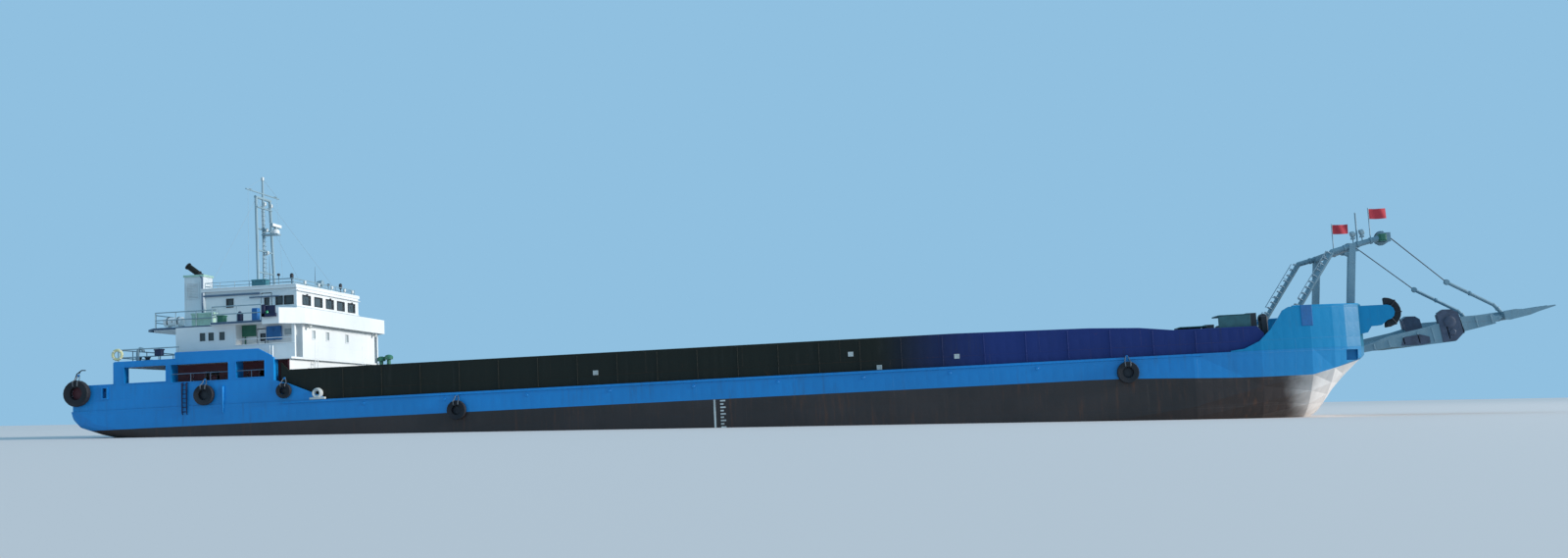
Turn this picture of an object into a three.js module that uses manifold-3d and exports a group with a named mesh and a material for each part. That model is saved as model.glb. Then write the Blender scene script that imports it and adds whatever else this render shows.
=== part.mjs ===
// Self-propelled river barge with a bow ramp, as a 1:10 scale model.
// Every size below is written in the real ship's metres: x runs forward from the transom, y to port
// and z up from the flat bottom. The exported group turns them into millimetres of the model.
import * as THREE from "three";
import { mergeVertices } from "three/addons/utils/BufferGeometryUtils.js";
import Module from "manifold-3d";

const wasm = await Module();
wasm.setup();

const MODEL_MM_PER_METRE = 100;
const GAP = 0.003; // between pieces that touch
const SIDES = [["stbd", -1], ["port", 1]];

// Hull and decks
const BREADTH = 16.0;
const HALF = BREADTH / 2;
const DECK_Z = 4.8;
const BOW_X = 80.68;
const POOP_UNDER_Z = 7.48;
const POOP_Z = 7.6;
const BRIDGE_UNDER_Z = 9.85;
const BRIDGE_Z = 10.0;
const ROOF_UNDER_Z = 12.24;
const ROOF_Z = 12.42;

// Half sections from stern to bow. The bilge is one curve from the keel plate's edge to the knuckle,
// pulled towards the corner.
// columns: x, keel z, keel half, corner half, corner z, knuckle half, knuckle z, deck half
const HULL_STATIONS = [
  [0.0, 4.05, 6.8, 7.6, 4.05, 7.8, 4.45, 7.96],
  [0.4, 3.7, 6.9, 7.8, 3.7, 7.92, 4.15, HALF],
  [1.7, 3.25, 6.9, 7.95, 3.25, HALF, 3.9, HALF],
  [13.0, 0.5, 6.8, HALF, 0.5, HALF, 1.7, HALF],
  [16.0, 0.0, 6.8, HALF, 0.0, HALF, 1.2, HALF],
  [66.0, 0.0, 6.8, HALF, 0.0, HALF, 1.2, HALF],
  [70.0, 0.0, 6.0, 7.85, 0.0, 7.97, 1.7, HALF],
  [74.0, 0.05, 4.5, 7.1, 0.1, 7.6, 2.7, 7.85],
  [77.0, 0.35, 2.6, 5.6, 0.6, 7.25, 3.25, 7.45],
  [78.4, 0.8, 1.2, 4.2, 1.3, 6.85, 3.55, 7.1],
  [79.2, 1.8, 0.7, 3.4, 2.2, 6.6, 3.85, 6.8],
  [80.2, 3.75, 2.4, 5.4, 3.8, 6.05, 4.15, 6.15],
  [BOW_X, 4.0, 2.4, 4.6, 4.05, 5.0, 4.3, 5.1],
];
const BILGE_STEPS = 5;

// Steel plate and walls
const PLATE = 0.15;
const WALL = 0.12;

// Wearing plate on the cargo deck, and the cargo walls beside it
const WEAR_PLATE = { x0: 16.8, x1: 70.8, half: 7.1, top: 4.82 };
const CARGO_WALL = { x0: 13.75, x1: 74.2, y0: 7.5, y1: 7.65, ribPitch: 2.5 };
// columns: x, top of the wall, which falls towards the bow
const WALL_TOP = [[14.25, 6.72], [56, 6.72], [64, 6.6], [67, 6.46], [69, 6.22], [73.85, 6.2]];

// Deck house on the main deck, house on the poop, and wheelhouse
const MAIN_HOUSE = { x0: 5.5, x1: 14.2, half: 6.3, frontHalf: 7.4 };
const POOP_HOUSE = { x0: 6.5, x1: 14.5, half: 7.05, porchX: 10.5, porchHalf: 6.1, sideTop: 8.5 };
const BRIDGE_DECK = { x0: 3.55, x1: 14.85, aftHalf: 6.0, aftCorner: 0.9, wingX: 9.2, half: 7.85, corner: 1.1 };
const BRIDGE_BULWARK = { x0: 12.7, bottom: 9.72, top: 10.72 };
const WHEELHOUSE = { x0: 7.45, x1: 13.72, half: 5.15 };
const DOOR = { width: 0.75, height: 1.85, sill: 0.15, thick: 0.06, clear: 0.06, barrel: [0.35, 1.8] };
const POOP_DOOR_X = [11.45, 11.45 + DOOR.width];
const SIDE_DOOR_X = [11.3, 11.3 + DOOR.width];
const RADAR = { x: 10.0, z: 16.95, half: 0.7 };

// Stern drive: two screws with a rudder behind each
const SCREW = { y: 3.4, z: 1.15, x: 6.0, radius: 0.85, hub: 0.2, blades: 4, bearing: 0.32 };
const RUDDER = { stockX: 3.9, x0: 2.7, x1: 4.5, z0: 0.3, z1: 2.3, thick: 0.22, stockTop: 2.687 };

// Pocket in each bow shoulder for an anchor, and the place and turn of the one that is stowed
const POCKET = { x0: 79.15, x1: 79.95, z0: 4.0, z1: 4.62, shell: 6.0 };
const ANCHOR = { x: 79.55, y: 6.47, z: 4.3, turnDeg: -31.8 };

// Bow gateway, its gantry and the ramp. The ramp is written along its own deck: s runs from the hinge
// to the tip and n stands square to it.
const RAMP_HINGE = { x: 80.95, z: 4.55 };
const RAMP_SLOPE_DEG = 10.5;
const RAMP_HALF = 3.4;
const FLAP_HINGE = { s: 8.62, n: 0.05 };
const RAMP_PIN = { radius: 0.08, bore: 0.09, barrel: 0.22 };
const GANTRY = { y: 3.9, postX: 80.45, top: 11.2, headX: 82.8, headZ: 11.5, tube: 0.17 };
const SHEAVE = { radius: 0.34, width: 0.16, y: 3.3 };
const WINDLASS = { x: 72.6, y: 6.3, z: 6.4, seatTop: 5.7 };

// Tyres hung as fenders. columns: name, x, z, outer radius, inner radius, width, inboard y
const SIDE_TYRES = [
  ["stern", 0.5, 5.95, 0.84, 0.42, 0.42, 7.95],
  ["quarter", 8.9, 5.45, 0.65, 0.33, 0.36, 7.95],
  ["house", 14.1, 5.45, 0.48, 0.24, 0.3, 7.95],
  ["waist", 25.2, 3.7, 0.6, 0.3, 0.36, HALF],
  ["shoulder", 66.1, 3.9, 0.65, 0.33, 0.36, HALF],
];
const BOW_TYRE = { x: 81.95, z: 6.75, outer: 0.9, inner: 0.468, width: 0.6, y: 5.5 };
const TYRE_SEGMENTS = 20;

const FINISHES = {
  blue: { color: 0x1c6ba5, roughness: 0.5, metalness: 0.1 },
  black: { color: 0x1d1c20, roughness: 0.6, metalness: 0.1 },
  white: { color: 0xe6e8e6, roughness: 0.5, metalness: 0.0 },
  red: { color: 0x5c2523, roughness: 0.7, metalness: 0.0 },
  grey: { color: 0xa9bcc4, roughness: 0.5, metalness: 0.1 },
  teal: { color: 0x4a7b92, roughness: 0.5, metalness: 0.1 },
  ramp: { color: 0x5a7b80, roughness: 0.6, metalness: 0.2 },
  bronze: { color: 0xa8844c, roughness: 0.4, metalness: 0.8 },
  rubber: { color: 0x1b1c1e, roughness: 0.9, metalness: 0.0 },
  machine: { color: 0x25333b, roughness: 0.6, metalness: 0.3 },
  flag: { color: 0xd8486b, roughness: 0.8, metalness: 0.0 },
};

// Closed solid of a three.js geometry, facing out
function toSolid(geometry) {
  geometry.deleteAttribute("normal");
  geometry.deleteAttribute("uv");
  const merged = mergeVertices(geometry, 1e-5);
  const corners = merged.index.array;
  const place = merged.attributes.position;
  const faces = [];
  let volume = 0;
  for (let i = 0; i < corners.length; i += 3) {
    const [a, b, c] = [corners[i], corners[i + 1], corners[i + 2]];
    if (a === b || b === c || c === a) continue;
    faces.push([a, b, c]);
    const [p, q, r] = [a, b, c].map((n) => new THREE.Vector3().fromBufferAttribute(place, n));
    volume += p.dot(q.cross(r));
  }
  const triVerts = new Uint32Array(faces.flatMap(([a, b, c]) => (volume < 0 ? [a, c, b] : [a, b, c])));
  return new wasm.Manifold(new wasm.Mesh({ numProp: 3, vertProperties: place.array, triVerts }));
}

const join = (...solids) => solids.flat().reduce((whole, piece) => whole.add(piece));
const cut = (solid, ...tools) => tools.flat().reduce((rest, tool) => rest.subtract(tool), solid);

// Box between two corners given as ranges, in either order
function block(xs, ys, zs) {
  const size = [xs, ys, zs].map(([a, b]) => Math.abs(b - a));
  const middle = [xs, ys, zs].map(([a, b]) => (a + b) / 2);
  return toSolid(new THREE.BoxGeometry(...size).translate(...middle));
}

// Outlines lie in the side plane (x, z), the cross plane (y, z) or the plan plane (x, y)
const PLANES = {
  side: { u: [1, 0, 0], v: [0, 0, 1], w: [0, -1, 0] },
  cross: { u: [0, 1, 0], v: [0, 0, 1], w: [1, 0, 0] },
  plan: { u: [1, 0, 0], v: [0, 1, 0], w: [0, 0, 1] },
};

// Flat plate of an outline, from one depth to another along the plane's normal
function slab(planeName, outline, ends, holes = []) {
  const plane = PLANES[planeName];
  const [low, high] = [Math.min(...ends), Math.max(...ends)];
  const shape = new THREE.Shape(outline.map(([a, b]) => new THREE.Vector2(a, b)));
  const geometry = new THREE.ExtrudeGeometry(shape, { depth: high - low, bevelEnabled: false });
  const [u, v, w] = [plane.u, plane.v, plane.w].map((axis) => new THREE.Vector3(...axis));
  const start = planeName === "side" ? new THREE.Vector3(0, high, 0) : w.clone().multiplyScalar(low);
  geometry.applyMatrix4(new THREE.Matrix4().makeBasis(u, v, w).setPosition(start));
  return cut(toSolid(geometry), holes.map((hole) => slab(planeName, hole, [low - 0.1, high + 0.1])));
}

const rectangle = (a0, a1, b0, b1) => [[a0, b0], [a1, b0], [a1, b1], [a0, b1]];

// Round bar between two points
function bar(from, to, radius, sides = 8) {
  const [a, b] = [new THREE.Vector3(...from), new THREE.Vector3(...to)];
  const along = b.clone().sub(a);
  const geometry = new THREE.CylinderGeometry(radius, radius, along.length(), sides);
  const turn = new THREE.Quaternion().setFromUnitVectors(new THREE.Vector3(0, 1, 0), along.normalize());
  geometry.applyQuaternion(turn);
  return toSolid(geometry.translate(...a.add(b).multiplyScalar(0.5).toArray()));
}

// Ring turned about the y axis from a closed profile of radius and width
function ring(outer, inner, width, segments = TYRE_SEGMENTS) {
  const [half, crown] = [width / 2, outer * 0.95];
  const profile = [
    [inner, -half * 0.7], [crown, -half], [outer, -half * 0.55],
    [outer, half * 0.55], [crown, half], [inner, half * 0.7], [inner, -half * 0.7],
  ];
  return toSolid(new THREE.LatheGeometry(profile.map(([r, y]) => new THREE.Vector2(r, y)), segments));
}

const moved = (solid, x, y, z) => solid.translate([x, y, z]);

// What is left of a solid above a deck
const above = (solid, z) => cut(solid, block([-10, 110], [-20, 20], [z - 5, z]));

function hullSolid() {
  const rings = HULL_STATIONS.map(([x, keelZ, keel, corner, cornerZ, knuckle, knuckleZ, deck]) => {
    const bilge = new THREE.QuadraticBezierCurve(
      new THREE.Vector2(keel, keelZ), new THREE.Vector2(corner, cornerZ), new THREE.Vector2(knuckle, knuckleZ),
    ).getPoints(BILGE_STEPS).map((p) => [p.x, p.y]);
    const port = [...bilge, [deck, DECK_Z]];
    const starboard = port.map(([y, z]) => [-y, z]).reverse();
    return [...port, ...starboard].map(([y, z]) => [x, y, z]);
  });
  return loft(rings);
}

// Skin through rings of points, closed by a fan at each end
function loft(rings) {
  const count = rings[0].length;
  const points = rings.flat();
  const faces = [];
  for (let r = 0; r + 1 < rings.length; r++) {
    for (let i = 0; i < count; i++) {
      const [a, b] = [r * count + i, r * count + ((i + 1) % count)];
      faces.push([a, b, b + count], [a, b + count, a + count]);
    }
  }
  for (const [r, flip] of [[0, true], [rings.length - 1, false]]) {
    const centre = rings[r].reduce((sum, p) => sum.map((s, k) => s + p[k] / count), [0, 0, 0]);
    points.push(centre);
    for (let i = 0; i < count; i++) {
      const [a, b] = [r * count + i, r * count + ((i + 1) % count)];
      faces.push(flip ? [points.length - 1, b, a] : [points.length - 1, a, b]);
    }
  }
  const geometry = new THREE.BufferGeometry();
  const corners = faces.flat().flatMap((n) => points[n]);
  geometry.setAttribute("position", new THREE.BufferAttribute(new Float32Array(corners), 3));
  return toSolid(geometry);
}

// Pair of mooring bitts on a base plate, run along x
function bitts(x, y, z) {
  const posts = [-0.35, 0.35].map((dx) => bar([x + dx, y, z], [x + dx, y, z + 0.65], 0.13));
  return join(block([x - 0.6, x + 0.6], [y - 0.22, y + 0.22], [z - 0.05, z + 0.06]), posts);
}

function rampLugs() {
  const lugYs = [[-RAMP_HALF - 0.17, -RAMP_HALF - 0.03], [-0.07, 0.07], [RAMP_HALF + 0.03, RAMP_HALF + 0.17]];
  const { x, z } = RAMP_HINGE;
  const outline = [[BOW_X - 0.05, z - 0.35], [x, z - 0.14], [x + 0.14, z], [x, z + 0.14], [BOW_X - 0.05, z + 0.2]];
  const ends = RAMP_HALF + 0.17;
  return join(
    lugYs.map((ys) => slab("side", outline, ys)),
    bar([x, -ends, z], [x, ends, z], RAMP_PIN.radius, 12),
  );
}

// columns: x, distance from the centre line
const BITT_PLACES = [[1.5, 6.6], [76.3, 6.3]];

// Recess in the plating of one side, open outwards
function anchorPocket(side) {
  const { x0, x1, z0, z1, shell } = POCKET;
  return block([x0, x1], [side * shell, side * HALF], [z0, z1]);
}

const hull = join(
  cut(hullSolid(), SIDES.map(([, side]) => anchorPocket(side))),
  block([WEAR_PLATE.x0, WEAR_PLATE.x1], [-WEAR_PLATE.half, WEAR_PLATE.half], [DECK_Z - 0.1, WEAR_PLATE.top]),
  rampLugs(),
  BITT_PLACES.flatMap(([x, y]) => SIDES.map(([, side]) => bitts(x, side * y, DECK_Z))),
);

// Stockless anchor with its crown under the pocket, its flukes flat on the plating and its shank run in.
// Its own frame has x along the ship's side, y out of it and z up.
function stowedAnchor() {
  const fluke = [[0.15, -0.5], [0.5, -0.5], [0.42, 0.1], [0.3, 0.38], [0.2, 0.0]];
  const shape = join(
    block([-0.55, 0.55], [0.06, 0.3], [-0.62, -0.38]),
    slab("side", fluke, [0.05, 0.17]),
    slab("side", fluke.map(([x, z]) => [-x, z]), [0.05, 0.17]),
    bar([0, 0.18, -0.5], [0, 0.1, -0.05], 0.09),
    bar([0, 0.13, -0.09], [0, -0.5, 0.08], 0.09),
  );
  const placed = moved(shape.rotate([0, 0, ANCHOR.turnDeg]), ANCHOR.x, ANCHOR.y, ANCHOR.z);
  return cut(placed, moved(hull, 0, GAP, 0));
}

// Stern gear below the counter
function shaftBossing(side) {
  const y = side * SCREW.y;
  const gear = join(
    bar([SCREW.x + SCREW.bearing, y, SCREW.z], [11.5, y, SCREW.z], 0.16),
    bar([SCREW.x + SCREW.bearing, y, SCREW.z], [SCREW.x + 1.0, y, SCREW.z], 0.24),
    slab("side", [[6.45, 1.2], [6.95, 1.2], [7.6, 3.0], [6.7, 3.0]], [y - 0.07, y + 0.07]),
  );
  return cut(gear, moved(hull, 0, 0, -GAP));
}

function screw(side) {
  const blade = (turn) => {
    const outline = [];
    for (let i = 0; i < 12; i++) {
      const angle = (i / 12) * 2 * Math.PI;
      outline.push([0.28 * Math.sin(angle), SCREW.radius * 0.55 + SCREW.radius * 0.45 * Math.cos(angle)]);
    }
    return slab("side", outline, [-0.025, 0.025]).rotate([0, 0, 55 * side]).rotate([turn, 0, 0]);
  };
  const blades = [];
  for (let i = 0; i < SCREW.blades; i++) blades.push(blade((i * 360) / SCREW.blades));
  return join(bar([-0.35, 0, 0], [SCREW.bearing - GAP, 0, 0], SCREW.hub, 12), blades);
}

function rudder(side) {
  const { stockX, x0, x1, z0, z1, thick, stockTop } = RUDDER;
  const y = side * SCREW.y;
  const half = thick / 2;
  const foil = [[x0, -0.03], [stockX, -half], [x1 - 0.1, -half * 0.7], [x1, 0], [x1 - 0.1, half * 0.7], [stockX, half], [x0, 0.03]];
  const blade = slab("plan", foil.map(([x, dy]) => [x, y + dy]), [z0, z1]);
  return join(blade, bar([stockX, y, z1 - 0.1], [stockX, y, stockTop], 0.1));
}

// Plating above the deck edge beside the house, with its ports and the pillar under the poop's corner
function sidePlating(side) {
  const base = DECK_Z + GAP;
  const outline = [
    [0.1, base], [0.1, 6.4], [2.8, 6.4], [2.8, 7.8], [6.9, 7.8], [6.9, 8.2], [12.4, 8.16],
    [13.4, 7.6], [13.4, 6.15], [14.3, 5.9], [16.6, 4.95], [16.6, base],
  ];
  // columns: x0, x1, z0, z1
  const ports = [
    [3.55, 6.3, 6.45, 7.45], [6.65, 10.42, 6.35, 7.45], [10.95, 12.8, 6.42, 7.45], [2.1, 2.37, 5.58, 6.2],
  ];
  const holes = ports.map((port) => rectangle(...port));
  const plate = slab("side", outline, [side * 7.8, side * 7.95], holes);
  const heights = [base, POOP_UNDER_Z - GAP];
  const pillar = block([2.8, 3.5], [side * 7.35, side * 7.9], heights);
  // columns: x0, x1 and inboard y of the web at the aft edge of an opening, and of the one at the end
  const webs = [[6.5, 6.65, 7.1], [10.8, 10.95, 7.0], [13.25, 13.4, 7.3]];
  return join(plate, pillar, webs.map(([x0, x1, y]) => block([x0, x1], [side * y, side * 7.9], heights)));
}

function sternBulwark() {
  const reach = 7.8 - GAP;
  const outline = rectangle(-reach, reach, DECK_Z + GAP, 6.4);
  const ports = [[-5.4, -4.2, 5.2, 5.6], [4.2, 5.4, 5.2, 5.6], [-0.6, 0.6, 5.2, 5.6]];
  const plate = slab("cross", outline, [0.12, 0.12 + PLATE], ports.map((port) => rectangle(...port)));
  return join(plate, block([0.1, 0.4], [-reach, reach], [6.3, 6.4]));
}

// Hollow ring of walls with a plan outline of its own
function walls(x0, x1, half, z0, z1) {
  const outer = rectangle(x0, x1, -half, half);
  const inner = rectangle(x0 + WALL, x1 - WALL, -half + WALL, half - WALL);
  return slab("plan", outer, [z0, z1], [inner]);
}

// House on the main deck, with its front plate carried out to the cargo walls
function mainHouse() {
  const { x0, x1, half, frontHalf } = MAIN_HOUSE;
  const heights = [DECK_Z + GAP, POOP_UNDER_Z - GAP];
  const shell = join(
    walls(x0, x1, half, ...heights),
    block([x1 - WALL, x1], [half - WALL, frontHalf], heights),
    block([x1 - WALL, x1], [-frontHalf, -half + WALL], heights),
  );
  // columns: x0, x1 of the openings in the side walls
  const sideOpenings = [[7.4, 9.0, 6.45, 7.0], [11.6, 12.4, 5.1, 6.95]];
  const frontOpenings = [[3.9, 4.7, 5.1, 6.95], [1.2, 1.8, 6.3, 6.9]];
  const tools = SIDES.flatMap(([, side]) => [
    ...sideOpenings.map(([a, b, c, d]) => block([a, b], [side * (half - 0.3), side * (half + 0.1)], [c, d])),
    ...frontOpenings.map(([a, b, c, d]) => block([x1 - 0.3, x1 + 0.1], [side * a, side * b], [c, d])),
  ]);
  return cut(shell, tools);
}

function poopDeck() {
  const reach = 7.8 - GAP;
  return slab("plan", rectangle(2.85, POOP_HOUSE.x1, -reach, reach), [POOP_UNDER_Z, POOP_Z]);
}

function poopHouse() {
  const { x0, x1, half, porchX, porchHalf, sideTop } = POOP_HOUSE;
  const [low, high] = [POOP_Z + GAP, BRIDGE_UNDER_Z - GAP];
  const outer = [
    [x0, -half], [porchX, -half], [porchX, -porchHalf], [x1, -porchHalf],
    [x1, porchHalf], [porchX, porchHalf], [porchX, half], [x0, half],
  ];
  const inner = [
    [x0 + WALL, -half + WALL], [porchX - WALL, -half + WALL], [porchX - WALL, -porchHalf + WALL],
    [x1 - WALL, -porchHalf + WALL], [x1 - WALL, porchHalf - WALL], [porchX - WALL, porchHalf - WALL],
    [porchX - WALL, half - WALL], [x0 + WALL, half - WALL],
  ];
  const shell = slab("plan", outer, [low, high], [inner]);
  // x centres of the side windows and y centres of the front windows
  const sideWindows = [8.3, 8.87, 9.6];
  const frontWindows = [-4.4, -2.2, 1.05];
  const tools = SIDES.flatMap(([, side]) => [
    ...sideWindows.map((x) => block([x - 0.2, x + 0.2], [side * (half - 0.3), side * (half + 0.1)], [8.9, 9.45])),
    block(POOP_DOOR_X, [side * (porchHalf - 0.3), side * (porchHalf + 0.1)], doorHeights(POOP_Z, 0)),
  ]);
  tools.push(...frontWindows.map((y) => block([x1 - 0.3, x1 + 0.1], [y - 0.22, y + 0.22], [8.85, 9.4])));
  const lugs = SIDES.map(([, side]) => doorLugs(POOP_DOOR_X[0] + DOOR.clear, side, porchHalf, POOP_Z));
  // Each side passage is open ahead, with a low side and a post under the bridge's corner
  const passages = SIDES.flatMap(([, side]) => [
    block([porchX - WALL, x1 - 0.1], [side * (half - WALL), side * half], [low, sideTop]),
    block([x1 - 0.3, x1 - 0.1], [side * (half - 0.2), side * half], [low, high]),
  ]);
  return join(cut(shell, tools), lugs.flat(), passages);
}

// Hinge lugs on a wall at the two ends of a door's barrel
function doorLugs(hingeX, side, faceY, deckZ) {
  const [low, high] = DOOR.barrel;
  const ends = [[low - 0.1, low - GAP], [high + GAP, high + 0.1]];
  return ends.map(([a, b]) => block(
    [hingeX - 0.1, hingeX + 0.01], [side * (faceY - 0.05), side * faceY], [deckZ + a, deckZ + b],
  ));
}

// Heights of a doorway over a deck, or of its leaf when it is let in by a clearance
function doorHeights(deckZ, clear) {
  return [deckZ + DOOR.sill + clear, deckZ + DOOR.sill + DOOR.height - clear];
}

// Front edge of the bridge deck with its cut corners, moved out by a distance, from starboard to port
function bridgeFront(out) {
  const { x1, half, corner } = BRIDGE_DECK;
  const cutBack = corner + out * (2 - Math.SQRT2);
  const [x, y] = [x1 + out, half + out];
  return [[x - cutBack, -y], [x, -y + cutBack], [x, y - cutBack], [x - cutBack, y]];
}

function bridgeDeck() {
  const { x0, aftHalf, aftCorner, wingX, half } = BRIDGE_DECK;
  const inner = aftHalf - 1.8 * aftCorner;
  const outline = [
    [x0, -inner], [x0 + aftCorner, -aftHalf], [wingX - 0.6, -aftHalf], [wingX, -half], ...bridgeFront(0),
    [wingX, half], [wingX - 0.6, aftHalf], [x0 + aftCorner, aftHalf], [x0, inner],
  ];
  return slab("plan", outline, [BRIDGE_UNDER_Z, BRIDGE_Z]);
}

function bridgeBulwark() {
  const { x0, bottom, top } = BRIDGE_BULWARK;
  const [inY, outY] = [BRIDGE_DECK.half + GAP, BRIDGE_DECK.half + PLATE];
  const outline = [
    [x0, -outY], ...bridgeFront(PLATE), [x0, outY],
    [x0, inY], ...bridgeFront(GAP).reverse(), [x0, -inY],
  ];
  return slab("plan", outline, [bottom, top]);
}

function wheelhouse() {
  const { x0, x1, half } = WHEELHOUSE;
  const shell = walls(x0, x1, half, BRIDGE_Z + GAP, ROOF_UNDER_Z - GAP);
  const frontWindows = [-3.66, -1.78, 0.1, 1.98, 3.86];
  // columns: x centre, half width
  const sideWindows = [[9.2, 0.2], [12.55, 0.2], [13.2, 0.28]];
  const tools = SIDES.flatMap(([, side]) => [
    ...sideWindows.map(([x, w]) => block([x - w, x + w], [side * (half - 0.3), side * (half + 0.1)], [11.2, 11.7])),
    block([x0 - 0.1, x0 + 0.3], [side * 2.0, side * 3.2], [11.2, 11.8]),
    block(SIDE_DOOR_X, [side * (half - 0.3), side * (half + 0.1)], doorHeights(BRIDGE_Z, 0)),
  ]);
  tools.push(...frontWindows.map((y) => block([x1 - 0.3, x1 + 0.1], [y - 0.6, y + 0.6], [11.2, 11.78])));
  const lugs = SIDES.map(([, side]) => doorLugs(SIDE_DOOR_X[0] + DOOR.clear, side, half, BRIDGE_Z));
  return join(cut(shell, tools), lugs.flat());
}

function wheelhouseRoof() {
  const { x0, x1, half } = WHEELHOUSE;
  return slab("plan", rectangle(x0 - 0.15, x1 + 0.05, -half - 0.15, half + 0.15), [ROOF_UNDER_Z, ROOF_Z]);
}

// Door leaf in its own frame: hinge line at the origin, leaf forward along x, outer face at y = 0
function doorLeaf(side, deckZ) {
  const { width, thick, clear } = DOOR;
  const leaf = block([0.02, width - 2 * clear], [-side * thick, 0], doorHeights(deckZ, clear));
  const window = block([0.2, 0.5], [-side * 0.2, side * 0.2], [deckZ + 1.2, deckZ + 1.65]);
  const barrel = bar([0, 0, deckZ + DOOR.barrel[0]], [0, 0, deckZ + DOOR.barrel[1]], 0.025, 6);
  return join(cut(leaf, window), barrel);
}

function funnelCasing() {
  const outline = [[3.7, BRIDGE_Z + GAP], [5.05, BRIDGE_Z + GAP], [5.05, 13.85], [4.9, 14.0], [3.7, 14.0]];
  return slab("side", outline, [-0.65, 0.65]);
}

function exhaustPipe() {
  const top = 14.0 + GAP;
  return above(join(
    bar([4.5, 0, top - 0.2], [4.35, 0, 14.25], 0.22),
    bar([4.4, 0, 14.12], [3.6, 0, 14.74], 0.2),
  ), top);
}

function mast() {
  const [foot, crown] = [ROOF_Z + GAP, 19.1];
  const legs = [-1, 1].map((side) => bar([9.3, side * 1.25, foot - 0.1], [9.1, side * 1.05, crown], 0.1));
  const rungs = [13.9, 15.4, 16.9, 18.4].map((z) => bar([9.2, -1.15, z], [9.2, 1.15, z], 0.06, 6));
  return above(join(
    legs, rungs,
    bar([9.1, -1.15, crown], [9.1, 1.15, crown], 0.1),
    bar([9.1, 0, foot], [9.1, 0, 20.6], 0.08),
    bar([9.1, -2.5, 19.45], [9.1, 2.5, 19.45], 0.05, 6),
    block([9.1, RADAR.x + 0.25], [-0.3, 0.3], [RADAR.z - 0.45, RADAR.z - 0.35]),
    bar([RADAR.x, 0, RADAR.z - 0.4], [RADAR.x, 0, RADAR.z], 0.16),
  ), foot);
}

// Radar bar in its own frame, turning about z
function radarBar() {
  return join(block([-0.1, 0.1], [-RADAR.half, RADAR.half], [0.1, 0.32]), bar([0, 0, GAP], [0, 0, 0.15], 0.1));
}

function cargoWall(side) {
  const { x0, x1, y0, y1, ribPitch } = CARGO_WALL;
  const base = DECK_Z + GAP;
  const outline = [[x0, base], [x1, base], [x1, 5.8], ...WALL_TOP.toReversed(), [x0, 7.25]];
  const plate = slab("side", outline, [side * y0, side * y1]);
  const under = WALL_TOP.map(([x, z]) => [x, z - 0.08]);
  const rail = slab("side", [...under, ...WALL_TOP.toReversed()], [side * (y0 - 0.12), side * y1]);
  const ribs = [];
  for (let x = 16.5; x < 70.5; x += ribPitch) {
    const i = WALL_TOP.findIndex(([at]) => at > x);
    const [[xa, za], [xb, zb]] = [WALL_TOP[i - 1], WALL_TOP[i]];
    const top = za + ((zb - za) * (x + 0.08 - xa)) / (xb - xa);
    const knee = [[y0 + 0.05, base], [y0 + 0.05, top - 0.04], [y0 - 0.1, top - 0.04], [y0 - 0.3, base]];
    ribs.push(slab("cross", knee.map(([y, z]) => [side * y, z]), [x, x + 0.08]));
  }
  return join(plate, rail, ribs);
}

// Bulwark round the bow's shoulder, rising in a sweep, with its face beside the gateway
function bowBulwark(side) {
  // columns: x, outer half
  const path = [
    [72.2, 7.93], [74.0, 7.85], [77.0, 7.45], [78.4, 7.1], [79.2, 6.8], [80.2, 6.15], [BOW_X, 5.1], [BOW_X, 4.2],
  ];
  const inner = [
    [BOW_X - PLATE, 4.2], [BOW_X - PLATE, 5.05], [80.1, 6.03], [79.15, 6.65], [78.35, 6.95],
    [77.0, 7.3], [74.0, 7.7], [72.2, 7.78],
  ];
  const ringed = [...path, ...inner].map(([x, y]) => [x, side * y]);
  const wall = slab("plan", ringed, [DECK_Z + GAP, 7.3]);
  const sweep = [[72.1, 4.85], [73.0, 4.95], [73.9, 5.35], [74.6, 6.0], [75.1, 6.65], [75.4, 7.1], [75.8, 7.31], [75.8, 7.6], [72.1, 7.6]];
  const sides = [side * 4, side * 8.2];
  const horn = BOW_TYRE;
  const root = 80.2;
  const nose = [[root, 5.5], [80.75, 5.6], [81.0, 5.98], [81.6, 6.0], [81.82, 6.18]];
  for (let i = 0; i <= 6; i++) {
    const angle = (-90 + i * 30) * (Math.PI / 180);
    nose.push([horn.x + 0.46 * Math.cos(angle), horn.z + 0.46 * Math.sin(angle)]);
  }
  nose.push([root, 7.22]);
  return join(
    cut(wall, slab("side", sweep, sides)),
    slab("side", nose, [side * (horn.y - 0.4), side * (horn.y + 0.4)]),
  );
}

function bowTyre(side) {
  const { x, z, outer, inner, width, y } = BOW_TYRE;
  const whole = moved(ring(outer, inner, width, 24), x, side * y, z);
  return cut(whole, block([x - 2, x], [side * (y - 1), side * (y + 1)], [z - 2, z + 2]));
}

function sideTyre([, x, z, outer, inner, width, inboard], side) {
  return moved(ring(outer, inner, width), x, side * (inboard + width / 2 + GAP), z);
}

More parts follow.
